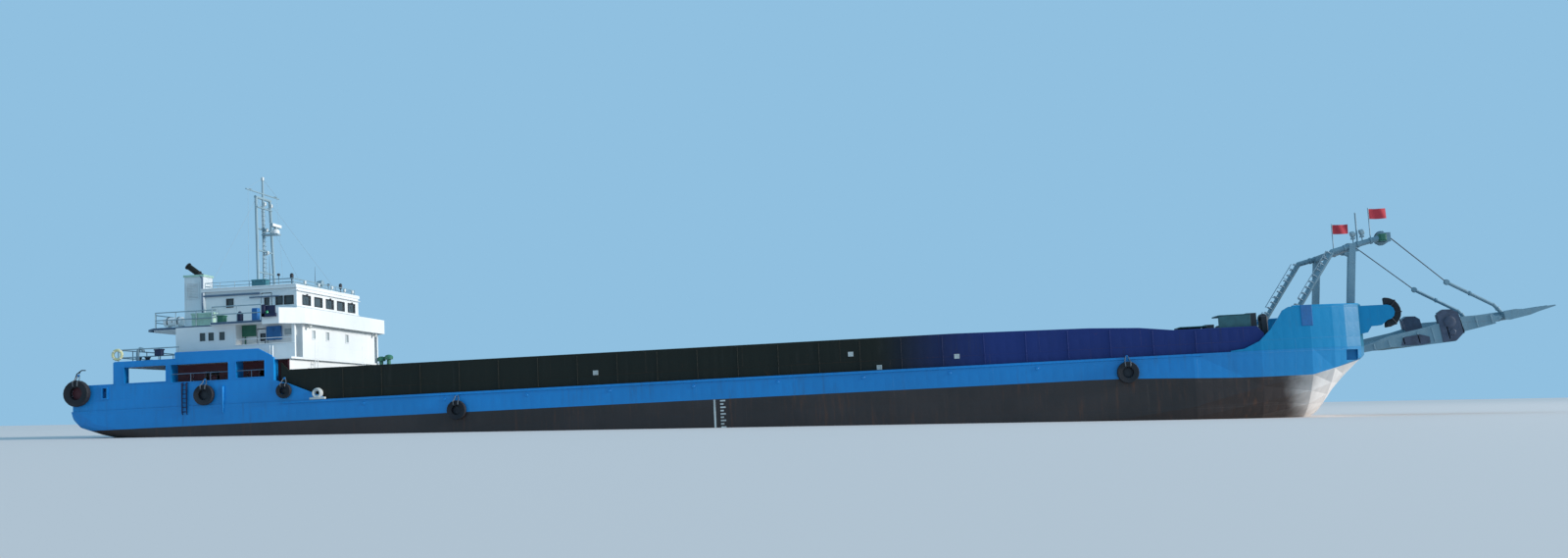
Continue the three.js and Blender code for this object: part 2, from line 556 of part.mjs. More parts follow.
// Portal over the gateway: two side frames of post, rear leg and fore arm, and the beam between them
function gantry() {
  const { y, postX, top, headX, headZ, tube } = GANTRY;
  const base = DECK_Z + GAP;
  // The posts lean ahead
  const postOutline = [[postX - 0.45, base], [postX - 0.05, base], [postX + 0.6, top], [postX + 0.2, top]];
  const frames = SIDES.flatMap(([, side]) => {
    const at = side * y;
    return [
      slab("side", postOutline, [at - 0.2, at + 0.2]),
      bar([75.7, at, base + 0.1], [77.5, at, 7.65], tube),
      bar([77.5, at, 7.65], [79.65, at, 10.8], tube),
      bar([79.6, at, 10.75], [headX, at, headZ], tube),
      block([75.4, 76.0], [at - 0.25, at + 0.25], [base, base + 0.25]),
      block([headX - 0.3, headX + 0.35], [at - 0.2, at + 0.2], [headZ - 0.3, headZ + 0.25]),
      bar([headX, at, headZ], [headX, side * (SHEAVE.y - 0.14), headZ], 0.07),
      bar([82.0, at, 11.25], [82.0, at, 13.35], 0.035, 6),
    ];
  });
  return above(join(
    frames,
    block([postX + 0.2, postX + 0.56], [-y, y], [top - 0.35, top - 0.02]),
    bar([81.2, -y, 11.1], [81.2, -y, 13.1], 0.05, 6),
  ), base);
}

function sheave() {
  const { radius, width } = SHEAVE;
  const half = width / 2;
  const profile = [[0.075, -half], [radius, -half], [radius - 0.07, 0], [radius, half], [0.075, half], [0.075, -half]];
  return toSolid(new THREE.LatheGeometry(profile.map(([r, y]) => new THREE.Vector2(r, y)), 16));
}

function flag(side) {
  const at = side * GANTRY.y;
  return block([82.0 + 0.035 + GAP, 83.05], [at - 0.015, at + 0.015], [12.65, 13.3]);
}

// Ramp main span along its own deck
function rampSpan() {
  const root = 0.24;
  const keel = [[0.05, -0.12], [1.9, -0.2], [3.5, -0.5], [5.7, -0.73], [6.4, -0.27], [8.3, -0.24]];
  const kerb = [[8.3, 0.42], [7.95, 0.42], [6.35, 0.66], [4.2, 0.5], [2.0, 0.5], [1.0, 0.34], [0.3, 0.26], [0.05, 0.18]];
  const girders = join(
    [-3.3, 3.3].map((y) => slab("side", [...keel, ...kerb], [y - 0.1, y + 0.1])),
    slab("side", [...keel, [8.3, 0.2], [0.35, 0.2]], [-0.1, 0.1]),
  );
  const deck = block([root + 0.1, 8.3], [-RAMP_HALF, RAMP_HALF], [0.16, 0.24]);
  const beams = [1.4, 2.8, 4.2, 5.6, 7.0, 8.2].map((s) => block([s - 0.05, s + 0.05], [-3.3, 3.3], [-0.14, 0.2]));
  const barrels = SIDES.map(([, side]) => bar([0, side * 0.14, 0], [0, side * (RAMP_HALF - 0.03), 0], RAMP_PIN.barrel, 12));
  const hingeBores = bar([0, -4, 0], [0, 4, 0], RAMP_PIN.bore, 12);
  const centreSlot = block([-0.3, 0.3], [-0.13, 0.13], [-0.4, 0.4]);
  const stands = SIDES.map(([, side]) => {
    const outline = [[5.05, 0.2], [6.25, 0.2], [6.15, 1.0], [5.9, 1.2], [5.4, 1.32], [5.1, 1.2]];
    return slab("side", outline, [side * 3.08, side * 3.38]);
  });
  const tipPin = bar([FLAP_HINGE.s, -RAMP_HALF, FLAP_HINGE.n], [FLAP_HINGE.s, RAMP_HALF, FLAP_HINGE.n], RAMP_PIN.radius, 12);
  const lugYs = [-3.3, -1.1, 1.1, 3.3];
  const lugs = lugYs.map((y) => slab("side", [[8.2, -0.15], [8.62, -0.08], [8.75, 0.05], [8.62, 0.18], [8.2, 0.24]], [y - 0.08, y + 0.08]));
  const span = cut(join(girders, deck, beams, barrels, stands), centreSlot, hingeBores);
  return join(span, lugs, tipPin);
}

// Flap at the ramp's tip with the two levers that lift it, in the flap's own frame at its hinge
function rampFlap() {
  const [tipS, tipN] = [12.0 - FLAP_HINGE.s, 0.02 - FLAP_HINGE.n];
  const wedge = [
    [0.3, 0.3], [0.3, -0.2], [0.6, -0.27], [1.8, -0.25], [2.3, -0.17],
    [tipS, tipN - 0.04], [tipS, tipN + 0.03], [2.3, 0.1], [1.6, 0.15], [1.0, 0.3],
  ];
  const plate = slab("side", wedge, [-RAMP_HALF, RAMP_HALF]);
  const hollow = slab("side", [[0.42, 0.2], [0.42, -0.6], [2.2, -0.6], [2.2, 0.0], [1.6, 0.06], [1.0, 0.2]], [-3.2, 3.2]);
  const rib = [[0.35, 0.25], [0.35, -0.15], [0.6, -0.25], [2.25, -0.14], [2.25, 0.04], [1.0, 0.25]];
  const ribs = [-1.6, 0, 1.6].map((y) => slab("side", rib, [y - 0.06, y + 0.06]));
  // columns: y of each barrel's inner and outer end
  const barrelYs = [[-3.15, -1.25], [-0.95, 0.95], [1.25, 3.15]];
  const barrels = barrelYs.map(([a, b]) => join(
    bar([0, a, 0], [0, b, 0], RAMP_PIN.barrel, 12),
    block([0, 0.4], [a, b], [-0.1, 0.12]),
  ));
  const bores = bar([0, -4, 0], [0, 4, 0], RAMP_PIN.bore, 12);
  const levers = SIDES.flatMap(([, side]) => {
    const y = side * 2.9;
    return [
      bar([0.45, y, 0.1], [0.0, y, 0.9], 0.11),
      bar([0.0, y, 0.86], [-2.3, y, 2.85], 0.11),
      bar([-2.3, y - 0.12, 2.85], [-2.3, y + 0.12, 2.85], 0.16),
    ];
  });
  return join(cut(join(cut(plate, hollow), ribs, barrels), bores), levers);
}

// Anchor windlass on its raised seat, and its drum in a frame of its own
function windlassSeat(side) {
  const { x, y, z, seatTop } = WINDLASS;
  const cheek = (dy) => slab(
    "side", [[x - 0.8, seatTop - 0.05], [x + 0.8, seatTop - 0.05], [x + 0.3, z + 0.35], [x - 0.3, z + 0.35]],
    [side * (y + dy) - 0.08, side * (y + dy) + 0.08],
  );
  return join(
    block([x - 1.5, x + 1.6], [side * (y - 1.05), side * (y + 1.05)], [DECK_Z + GAP, seatTop]),
    cheek(-0.8), cheek(0.8),
    bar([x, side * (y - 0.9), z], [x, side * (y + 0.9), z], 0.08),
    block([x + 0.9, x + 1.5], [side * (y - 0.8), side * (y + 0.4)], [seatTop - 0.05, 7.1]),
  );
}

function windlassDrum() {
  const profile = [
    [0.088, -0.62], [0.42, -0.62], [0.42, -0.52], [0.26, -0.5],
    [0.26, 0.5], [0.42, 0.52], [0.42, 0.62], [0.088, 0.62], [0.088, -0.62],
  ];
  return toSolid(new THREE.LatheGeometry(profile.map(([r, y]) => new THREE.Vector2(r, y)), 16));
}

// Guard rails as square bars: posts along a path and rails between them
function guardRail(path, z0, height, pitch) {
  const bars = [];
  for (let i = 0; i + 1 < path.length; i++) {
    const [[ax, ay], [bx, by]] = [path[i], path[i + 1]];
    for (const level of [0.5, 1]) {
      bars.push(bar([ax, ay, z0 + height * level], [bx, by, z0 + height * level], 0.035, 4));
    }
    const steps = Math.max(1, Math.round(Math.hypot(bx - ax, by - ay) / pitch));
    for (let k = 0; k < steps; k++) {
      const [x, y] = [ax + ((bx - ax) * k) / steps, ay + ((by - ay) * k) / steps];
      bars.push(bar([x, y, z0 + GAP], [x, y, z0 + height + 0.03], 0.035, 4));
    }
  }
  const [endX, endY] = path[path.length - 1];
  bars.push(bar([endX, endY, z0 + GAP], [endX, endY, z0 + height + 0.03], 0.035, 4));
  return join(bars);
}

function lifeRaft(side) {
  const [x, y, z] = [5.4, side * 5.2, BRIDGE_Z + 0.42];
  return join(
    bar([x - 0.6, y, z], [x + 0.6, y, z], 0.3, 10),
    [-0.35, 0.35].map((dx) => block([x + dx - 0.05, x + dx + 0.05], [y - 0.25, y + 0.25], [BRIDGE_Z + GAP, z])),
  );
}

const BRIDGE_RAIL_PATH = [
  [12.55, -7.75], [9.3, -7.75], [8.65, -5.9], [4.5, -5.9], [3.65, -4.3],
  [3.65, 4.3], [4.5, 5.9], [8.65, 5.9], [9.3, 7.75], [12.55, 7.75],
];

const ship = new THREE.Group();

// Named mesh of a solid, in its own finish
function part(name, solid, finish, parent = ship) {
  const mesh = solid.getMesh();
  const geometry = new THREE.BufferGeometry();
  geometry.setAttribute("position", new THREE.BufferAttribute(new Float32Array(mesh.vertProperties), 3));
  geometry.setIndex(new THREE.BufferAttribute(mesh.triVerts, 1));
  geometry.computeVertexNormals();
  const piece = new THREE.Mesh(geometry, new THREE.MeshStandardMaterial(FINISHES[finish]));
  piece.name = name;
  parent.add(piece);
  return piece;
}

part("hull", hull, "blue");
part("stern_bulwark", sternBulwark(), "blue");
part("poop_deck", poopDeck(), "white");
part("main_house", mainHouse(), "red");
part("poop_house", poopHouse(), "white");
part("bridge_deck", bridgeDeck(), "white");
part("bridge_bulwark", bridgeBulwark(), "white");
part("wheelhouse", wheelhouse(), "white");
part("wheelhouse_roof", wheelhouseRoof(), "white");
part("funnel", funnelCasing(), "white");
part("exhaust_pipe", exhaustPipe(), "black");
part("mast", mast(), "grey");
part("radar_scanner", radarBar(), "grey").position.set(RADAR.x, 0, RADAR.z);
part("roof_locker", block([10.72, 11.66], [-5.2, -4.6], [ROOF_Z + GAP, 12.88]), "teal");
part("gantry", gantry(), "ramp");
part("poop_rail", guardRail([[7.0, -7.6], [2.95, -7.6], [2.95, 7.6], [7.0, 7.6]], POOP_Z, 1.0, 1.6), "grey");
part("bridge_rail", guardRail(BRIDGE_RAIL_PATH, BRIDGE_Z, 1.0, 1.6), "grey");

part("anchor_port", stowedAnchor(), "machine");

for (const [name, side] of SIDES) {
  part(`side_plating_${name}`, sidePlating(side), "blue");
  part(`cargo_wall_${name}`, cargoWall(side), "black");
  part(`bow_bulwark_${name}`, bowBulwark(side), "blue");
  part(`shaft_bossing_${name}`, shaftBossing(side), "black");
  part(`screw_${name}`, screw(side), "bronze").position.set(SCREW.x, side * SCREW.y, SCREW.z);
  part(`rudder_${name}`, rudder(side), "black");
  part(`windlass_seat_${name}`, windlassSeat(side), "machine");
  part(`windlass_drum_${name}`, windlassDrum(), "machine").position.set(WINDLASS.x, side * WINDLASS.y, WINDLASS.z);
  part(`sheave_${name}`, sheave(), "machine").position.set(GANTRY.headX, side * SHEAVE.y, GANTRY.headZ);
  part(`flag_${name}`, flag(side), "flag");
  part(`life_raft_${name}`, lifeRaft(side), "white");
  part(`wheelhouse_door_${name}`, doorLeaf(side, BRIDGE_Z), "white")
    .position.set(SIDE_DOOR_X[0] + DOOR.clear, side * WHEELHOUSE.half, 0);
  part(`poop_door_${name}`, doorLeaf(side, POOP_Z), "white")
    .position.set(POOP_DOOR_X[0] + DOOR.clear, side * POOP_HOUSE.porchHalf, 0);
  for (const row of SIDE_TYRES) part(`tyre_${row[0]}_${name}`, sideTyre(row, side), "rubber");
  part(`tyre_bow_${name}`, bowTyre(side), "rubber");
}

const ramp = new THREE.Group();
ramp.position.set(RAMP_HINGE.x, 0, RAMP_HINGE.z);
ramp.rotation.y = -THREE.MathUtils.degToRad(RAMP_SLOPE_DEG);
part("ramp_span", rampSpan(), "ramp", ramp);
part("ramp_flap", rampFlap(), "ramp", ramp).position.set(FLAP_HINGE.s, 0, FLAP_HINGE.n);
ship.add(ramp);

// Model scale, with the origin under the middle of the length
ship.scale.setScalar(MODEL_MM_PER_METRE);
ship.updateMatrixWorld(true);
const bounds = new THREE.Box3().setFromObject(ship);
ship.position.x = -(bounds.min.x + bounds.max.x) / 2;

export default ship;
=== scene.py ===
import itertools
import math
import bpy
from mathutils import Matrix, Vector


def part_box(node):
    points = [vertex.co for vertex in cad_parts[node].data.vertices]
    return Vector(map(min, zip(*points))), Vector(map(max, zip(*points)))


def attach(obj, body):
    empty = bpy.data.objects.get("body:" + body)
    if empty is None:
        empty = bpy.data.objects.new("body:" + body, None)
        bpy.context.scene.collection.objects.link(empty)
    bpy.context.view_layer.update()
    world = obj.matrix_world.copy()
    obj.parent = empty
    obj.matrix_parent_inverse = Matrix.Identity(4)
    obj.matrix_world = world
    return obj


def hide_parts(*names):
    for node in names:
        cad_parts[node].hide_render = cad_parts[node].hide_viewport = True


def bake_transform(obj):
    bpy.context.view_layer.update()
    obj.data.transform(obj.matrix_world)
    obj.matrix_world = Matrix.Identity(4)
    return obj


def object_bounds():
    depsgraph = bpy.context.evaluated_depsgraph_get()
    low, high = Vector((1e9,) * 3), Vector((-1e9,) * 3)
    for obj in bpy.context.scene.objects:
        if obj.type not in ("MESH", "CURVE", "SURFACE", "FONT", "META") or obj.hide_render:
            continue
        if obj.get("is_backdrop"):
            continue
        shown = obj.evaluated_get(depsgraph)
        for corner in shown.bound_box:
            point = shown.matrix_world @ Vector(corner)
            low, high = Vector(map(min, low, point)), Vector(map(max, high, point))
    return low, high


bl_info = {
    "name": "Landing barge visual model",
    "version": (1, 0, 0),
    "blender": (4, 5, 0),
    "location": "View3D > Sidebar > Barge",
    "description": "Adds paint, fittings and rigging to a 1:10 model of a river landing barge",
    "category": "Object",
}

import bmesh
import bpy
from mathutils import Matrix, Vector

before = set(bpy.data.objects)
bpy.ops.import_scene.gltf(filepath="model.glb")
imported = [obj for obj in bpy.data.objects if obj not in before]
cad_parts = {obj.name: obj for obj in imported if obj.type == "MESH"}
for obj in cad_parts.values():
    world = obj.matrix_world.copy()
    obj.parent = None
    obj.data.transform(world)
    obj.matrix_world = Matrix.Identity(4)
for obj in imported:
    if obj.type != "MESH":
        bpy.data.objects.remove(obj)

# Every form below is written in the real ship's metres: x forward from the transom, y to port,
# z up from the flat bottom. SCALE and ORIGIN bring it into the row frame.
SCALE = 0.1
ORIGIN = Vector((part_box("hull")[0].x, 0.0, 0.0))
SIDES = (("stbd", -1), ("port", 1))
X_AXIS = Vector((1, 0, 0))
Y_AXIS = Vector((0, 1, 0))
Z_AXIS = Vector((0, 0, 1))


def ship(x, y, z):
    """A point of the ship in the row frame."""
    return ORIGIN + Vector((x, y, z)) * SCALE


# Forms


class Form:
    """Gathers the closed shells of one piece, in ship metres."""

    def __init__(self):
        self.points = []
        self.faces = []
        self.slots = []
        self.slot = 0

    def add(self, points, faces):
        first = len(self.points)
        self.points.extend(Vector(p) for p in points)
        for face in faces:
            self.faces.append([first + i for i in face])
            self.slots.append(self.slot)

    def block(self, low, high, chamfer=0.02, turn=None):
        """A box with chamfered edges. turn places it, as a 4x4 matrix."""
        mid = (Vector(low) + Vector(high)) / 2
        half = (Vector(high) - Vector(low)) / 2
        c = min(chamfer, min(half) * 0.8)
        corners = list(itertools.product((-1, 1), repeat=3))
        points = []
        index = {}
        for signs in corners:
            for axis in range(3):
                index[signs, axis] = len(points)
                points.append([mid[i] + signs[i] * (half[i] - (0 if i == axis else c)) for i in range(3)])
        faces = [[index[signs, axis] for axis in range(3)] for signs in corners]
        for axis, u, v in ((0, 1, 2), (1, 2, 0), (2, 0, 1)):

            def corner(s, a, b):
                signs = [0, 0, 0]
                signs[axis], signs[u], signs[v] = s, a, b
                return tuple(signs)

            for s in (-1, 1):
                faces.append([index[corner(s, a, b), axis] for a, b in ((-1, -1), (1, -1), (1, 1), (-1, 1))])
            for a, b in itertools.product((-1, 1), repeat=2):
                near, far = corner(-1, a, b), corner(1, a, b)
                faces.append([index[near, u], index[near, v], index[far, v], index[far, u]])
        if turn is not None:
            points = [turn @ Vector(p) for p in points]
        self.add(points, faces)

    def post(self, x, y, half_x, half_y, low, high, chamfer=0.02, turn=None):
        """A box about an upright line at x, y."""
        self.block((x - half_x, y - half_y, low), (x + half_x, y + half_y, high), chamfer, turn)

    def bar(self, path, radius, sides=8, closed=False):
        """A round bar along a path. radius is one number or one for each point."""
        path = [Vector(p) for p in path]
        count = len(path)
        radii = radius if isinstance(radius, (list, tuple)) else [radius] * count
        tangents = []
        for i in range(count):
            if closed:
                t = path[(i + 1) % count] - path[i - 1]
            else:
                t = path[min(i + 1, count - 1)] - path[max(i - 1, 0)]
            tangents.append(t.normalized())
        up = Z_AXIS if abs(tangents[0].z) < 0.9 else X_AXIS
        across = tangents[0].cross(up).normalized()
        points = []
        for i in range(count):
            if i:
                across = (across - tangents[i] * across.dot(tangents[i])).normalized()
            other = tangents[i].cross(across)
            stretch = 1.0
            if 0 < i < count - 1:
                before = (path[i] - path[i - 1]).normalized()
                stretch = 1 / max(0.5, tangents[i].dot(before))
            for k in range(sides):
                a = 2 * math.pi * (k + 0.5) / sides
                points.append(path[i] + (across * math.cos(a) + other * math.sin(a)) * radii[i] * stretch)
        faces = []
        for i in range(count if closed else count - 1):
            j = (i + 1) % count
            for k in range(sides):
                n = (k + 1) % sides
                faces.append([i * sides + k, i * sides + n, j * sides + n, j * sides + k])
        if not closed:
            faces.append(list(range(sides))[::-1])
            faces.append([(count - 1) * sides + k for k in range(sides)])
        self.add(points, faces)

    def turned(self, profile, centre, axis, sides=24):
        """A shell turned about an axis. profile holds (distance along the axis, radius)."""
        axis = Vector(axis).normalized()
        centre = Vector(centre)
        up = Z_AXIS if abs(axis.z) < 0.9 else X_AXIS
        across = axis.cross(up).normalized()
        other = axis.cross(across)
        points = []
        for along, radius in profile:
            for k in range(sides):
                a = 2 * math.pi * k / sides
                spoke = across * math.cos(a) + other * math.sin(a)
                points.append(centre + axis * along + spoke * radius)
        faces = []
        last = len(profile) - 1
        looped = profile[0] == profile[-1]
        if looped:
            points = points[: last * sides]
        for i in range(last):
            j = (i + 1) % last if looped else i + 1
            for k in range(sides):
                n = (k + 1) % sides
                faces.append([i * sides + k, i * sides + n, j * sides + n, j * sides + k])
        if not looped:
            faces.append(list(range(sides))[::-1])
            faces.append([last * sides + k for k in range(sides)])
        self.add(points, faces)

    def ring(self, centre, axis, radius, thick, sides=24, around=8):
        """A round ring, such as a lifebuoy or a shackle."""
        profile = []
        for k in range(around + 1):
            a = 2 * math.pi * (k % around) / around
            profile.append((math.sin(a) * thick, radius + math.cos(a) * thick))
        self.turned(profile, centre, axis, sides)

    def plate(self, outline, thick, origin, u, v):
        """A flat plate: outline in the plane of u and v from origin, thick to both sides."""
        u = Vector(u).normalized()
        v = Vector(v).normalized()
        n = u.cross(v)
        origin = Vector(origin)
        count = len(outline)
        points = []
        for side in (-0.5, 0.5):
            for a, b in outline:
                points.append(origin + u * a + v * b + n * side * thick)
        faces = [list(range(count))[::-1], [count + i for i in range(count)]]
        for i in range(count):
            j = (i + 1) % count
            faces.append([i, j, count + j, count + i])
        self.add(points, faces)

    def rim(self, centre, u, v, wide, tall, thick, depth):
        """A rectangular ring round an opening of wide by tall, in the plane of u and v."""
        u = Vector(u).normalized()
        v = Vector(v).normalized()
        n = u.cross(v)
        centre = Vector(centre)
        points = []
        for grow, side in ((0.0, -0.5), (thick, -0.5), (thick, 0.5), (0.0, 0.5)):
            a = wide / 2 + grow
            b = tall / 2 + grow
            for p, q in ((-a, -b), (a, -b), (a, b), (-a, b)):
                points.append(centre + u * p + v * q + n * side * depth)
        faces = []
        for i in range(4):
            j = (i + 1) % 4
            for k in range(4):
                m = (k + 1) % 4
                faces.append([i * 4 + k, i * 4 + m, j * 4 + m, j * 4 + k])
        self.add(points, faces)

    def make(self, name, *finishes, body="ship"):
        """The piece as an object in the named finishes, riding on a body of the row."""
        mesh = bpy.data.meshes.new(name)
        form = bmesh.new()
        made = [form.verts.new(ORIGIN + p * SCALE) for p in self.points]
        for face, slot in zip(self.faces, self.slots):
            made_face = form.faces.new([made[i] for i in face])
            made_face.material_index = slot
            made_face.smooth = True
        bmesh.ops.recalc_face_normals(form, faces=form.faces)
        form.to_mesh(mesh)
        form.free()
        mesh.set_sharp_from_angle(angle=math.radians(35))
        for finish in finishes:
            mesh.materials.append(FINISH[finish])
        obj = bpy.data.objects.new(name, mesh)
        bpy.context.scene.collection.objects.link(obj)
        if body:
            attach(obj, body)
        return obj


# The top of the cargo walls. columns: x, z
WALL_TOP = ((14.3, 6.72), (35.0, 6.72), (56.0, 6.72), (64.0, 6.6), (67.0, 6.46), (69.0, 6.22), (73.85, 6.2))


def wall_top(x):
    """Height of a cargo wall's top at x."""
    for (xa, za), (xb, zb) in zip(WALL_TOP, WALL_TOP[1:]):
        if xa <= x <= xb:
            return za + (zb - za) * (x - xa) / (xb - xa)
    raise ValueError("no cargo wall at x = %.2f" % x)


def window(rims, panes, centre, u, wide, tall, thick=0.055, back=0.05):
    """An upright window in a wall's outer face: a raised rim, and a pane set back in the opening."""
    out = Vector(u).cross(Z_AXIS).normalized()
    rims.rim(Vector(centre) + out * 0.012, u, Z_AXIS, wide - 0.02, tall - 0.02, thick, 0.05)
    a = wide / 2 + 0.005
    b = tall / 2 + 0.005
    panes.plate([(-a, -b), (a, -b), (a, b), (-a, b)], 0.02, Vector(centre) - out * back, u, Z_AXIS)


def cloth_faces(across, down, count):
    """Faces of a closed sheet of two grids that lie back to back, count points each."""
    row = down + 1
    faces = []
    for i in range(across):
        for k in range(down):
            a = i * row + k
            quad = [a, a + 1, a + 1 + row, a + row]
            faces.append(quad)
            faces.append([count + j for j in reversed(quad)])
    edge = [i * row for i in range(across)]
    edge += [across * row + k for k in range(down)]
    edge += [i * row + down for i in range(across, 0, -1)]
    edge += [k for k in range(down, 0, -1)]
    for a, b in zip(edge, edge[1:] + edge[:1]):
        faces.append([a, b, count + b, count + a])
    return faces


# The ramp's hinge and the directions along it and square to it, at rest
RAMP_SLOPE = math.radians(10.5)
RAMP_HINGE = Vector((80.95, 0.0, 4.55))
RAMP_ALONG = Vector((math.cos(RAMP_SLOPE), 0, math.sin(RAMP_SLOPE)))
RAMP_UP = Vector((-math.sin(RAMP_SLOPE), 0, math.cos(RAMP_SLOPE)))
RAMP_TURN = Matrix.Translation(RAMP_HINGE) @ Matrix.Rotation(-RAMP_SLOPE, 4, "Y")


def on_ramp(s, y, n):
    """A point s along the ramp, y to port and n above it."""
    return RAMP_HINGE + RAMP_ALONG * s + Y_AXIS * y + RAMP_UP * n


FLAP_HINGE = on_ramp(8.62, 0.0, 0.05)


def lever_end(s):
    """The end of the flap's lever on side s, where the hoist wire is made fast."""
    return FLAP_HINGE + RAMP_ALONG * -2.3 + RAMP_UP * 2.85 + Y_AXIS * (s * 2.9)


def on_both_sides(*makers):
    """Calls each maker for starboard and for port."""
    for side, s in SIDES:
        for make in makers:
            make(side, s)


# Materials


class Net:
    """Adds nodes to a tree and links what is handed in as a socket."""

    def __init__(self, tree):
        self.tree = tree

    def add(self, kind, inputs=None, **settings):
        node = self.tree.nodes.new(kind)
        for key, value in settings.items():
            setattr(node, key, value)
        for key, value in (inputs or {}).items():
            self.put(node.inputs[key], value)
        return node

    def put(self, socket, value):
        if isinstance(value, bpy.types.NodeSocket):
            self.tree.links.new(value, socket)
        else:
            socket.default_value = value

    def maths(self, kind, a, b=None, clamp=False):
        """One step of arithmetic."""
        inputs = {0: a}
        if b is not None:
            inputs[1] = b
        return self.add("ShaderNodeMath", inputs, operation=kind, use_clamp=clamp).outputs[0]

    def plus(self, a, b, clamp=False):
        return self.maths("ADD", a, b, clamp)

    def minus(self, a, b):
        return self.maths("SUBTRACT", a, b)

    def times(self, a, b):
        return self.maths("MULTIPLY", a, b)

    def split(self, vector):
        """The three coordinates of a vector."""
        return self.add("ShaderNodeSeparateXYZ", {0: vector}).outputs

    def span(self, value, low, high, to_low=0.0, to_high=1.0, kind="SMOOTHSTEP"):
        """Maps a value from one span to another, smoothly or in a straight line."""
        inputs = {"Value": value, "From Min": low, "From Max": high, "To Min": to_low, "To Max": to_high}
        return self.add("ShaderNodeMapRange", inputs, interpolation_type=kind).outputs[0]

    def mix(self, factor, a, b):
        """Mixes two colours."""
        node = self.add("ShaderNodeMix", data_type="RGBA")
        self.put(node.inputs["Factor"], factor)
        self.put(node.inputs[6], a)
        self.put(node.inputs[7], b)
        return node.outputs[2]

    def noise(self, vector, scale, detail=4.0, rough=0.55):
        inputs = {"Vector": vector, "Scale": scale, "Detail": detail, "Roughness": rough}
        return self.add("ShaderNodeTexNoise", inputs).outputs["Fac"]

    def stretch(self, vector, x, y, z):
        inputs = {"Vector": vector, "Scale": (x, y, z)}
        return self.add("ShaderNodeMapping", inputs).outputs["Vector"]


def effect(name, inputs, outputs):
    """A node group with named sockets. Gives the tree, its net and its input and output nodes."""
    tree = bpy.data.node_groups.new(name, "ShaderNodeTree")
    for label, kind, default in inputs:
        socket = tree.interface.new_socket(name=label, in_out="INPUT", socket_type=kind)
        if default is not None:
            socket.default_value = default
    for label, kind in outputs:
        tree.interface.new_socket(name=label, in_out="OUTPUT", socket_type=kind)
    net = Net(tree)
    return tree, net, net.add("NodeGroupInput").outputs, net.add("NodeGroupOutput").inputs


FLOAT = "NodeSocketFloat"
VECTOR = "NodeSocketVector"


def make_weather():
    """Streaks that run down, wide blotches and a fine grain, each from 0 to 1."""
    inputs = [("Vector", VECTOR, None), ("Size", FLOAT, 1.0)]
    outputs = [("Streaks", FLOAT), ("Blotches", FLOAT), ("Grain", FLOAT)]
    tree, net, got, give = effect("Weather", inputs, outputs)
    size = net.add("ShaderNodeVectorMath", {0: got["Vector"]}, operation="SCALE")
    net.put(size.inputs["Scale"], got["Size"])
    vector = size.outputs["Vector"]
    long = net.noise(net.stretch(vector, 9.0, 9.0, 0.9), 4.0, 5.0, 0.6)
    patches = net.noise(vector, 3.0, 3.0, 0.5)
    streaks = net.times(net.span(long, 0.5, 0.78), net.span(patches, 0.38, 0.66))
    net.put(give["Streaks"], streaks)
    net.put(give["Blotches"], net.span(net.noise(vector, 1.6, 6.0, 0.6), 0.35, 0.7))
    net.put(give["Grain"], net.noise(vector, 60.0, 3.0, 0.6))
    return tree


def make_plates():
    """Welded plates: thin seams, a tone for each plate and the dents between the frames."""
    inputs = [("Vector", VECTOR, None), ("Length", FLOAT, 0.6), ("Height", FLOAT, 0.18)]
    outputs = [("Seam", FLOAT), ("Tone", FLOAT), ("Dent", FLOAT)]
    tree, net, got, give = effect("Plates", inputs, outputs)
    parts = net.split(got["Vector"])
    along = net.plus(parts["X"], net.times(parts["Y"], 0.37))
    flat = net.add("ShaderNodeCombineXYZ", {"X": along, "Y": parts["Z"], "Z": 0.0}).outputs[0]
    bricks = {"Vector": flat, "Color1": (0.2, 0.2, 0.2, 1), "Color2": (0.8, 0.8, 0.8, 1),
        "Mortar": (0.5, 0.5, 0.5, 1), "Scale": 1.0, "Mortar Size": 0.0012, "Mortar Smooth": 0.6,
        "Brick Width": got["Length"], "Row Height": got["Height"]}
    brick = net.add("ShaderNodeTexBrick", bricks)
    net.put(give["Seam"], brick.outputs["Fac"])
    net.put(give["Tone"], net.add("ShaderNodeSeparateColor", {0: brick.outputs["Color"]}).outputs[0])
    wave = net.maths("ABSOLUTE", net.maths("SINE", net.times(along, 50.3)))
    rise = net.maths("ABSOLUTE", net.maths("SINE", net.times(parts["Z"], 35.0)))
    dent = net.times(net.times(wave, rise), net.noise(got["Vector"], 2.5, 2.0))
    net.put(give["Dent"], dent)
    return tree


def make_level():
    """1 above a level in the ship, with a slightly wavy edge."""
    inputs = [("Vector", VECTOR, None), ("Level", FLOAT, 0.3), ("Soft", FLOAT, 0.002),
        ("Wobble", FLOAT, 0.004)]
    tree, net, got, give = effect("Level", inputs, [("Above", FLOAT)])
    height = net.split(got["Vector"])["Z"]
    shake = net.times(net.minus(net.noise(got["Vector"], 9.0, 5.0), 0.5), got["Wobble"])
    rise = net.minus(net.plus(height, shake), got["Level"])
    net.put(give["Above"], net.span(net.maths("DIVIDE", rise, got["Soft"]), -1.0, 1.0))
    return tree


def make_relief():
    """A surface normal from weld seams, dents and brushed paint."""
    inputs = [("Seam", FLOAT, 0.0), ("Dent", FLOAT, 0.0), ("Grain", FLOAT, 0.5), ("Depth", FLOAT, 0.003),
        ("Roughness", FLOAT, 0.0004)]
    tree, net, got, give = effect("Relief", inputs, [("Normal", VECTOR)])
    height = net.times(net.plus(got["Dent"], net.times(got["Seam"], 0.3)), got["Depth"])
    height = net.plus(height, net.times(got["Grain"], got["Roughness"]))
    bump = net.add("ShaderNodeBump", {"Height": height, "Distance": 1.0, "Strength": 1.0})
    net.put(give["Normal"], bump.outputs["Normal"])
    return tree


EFFECTS = {}


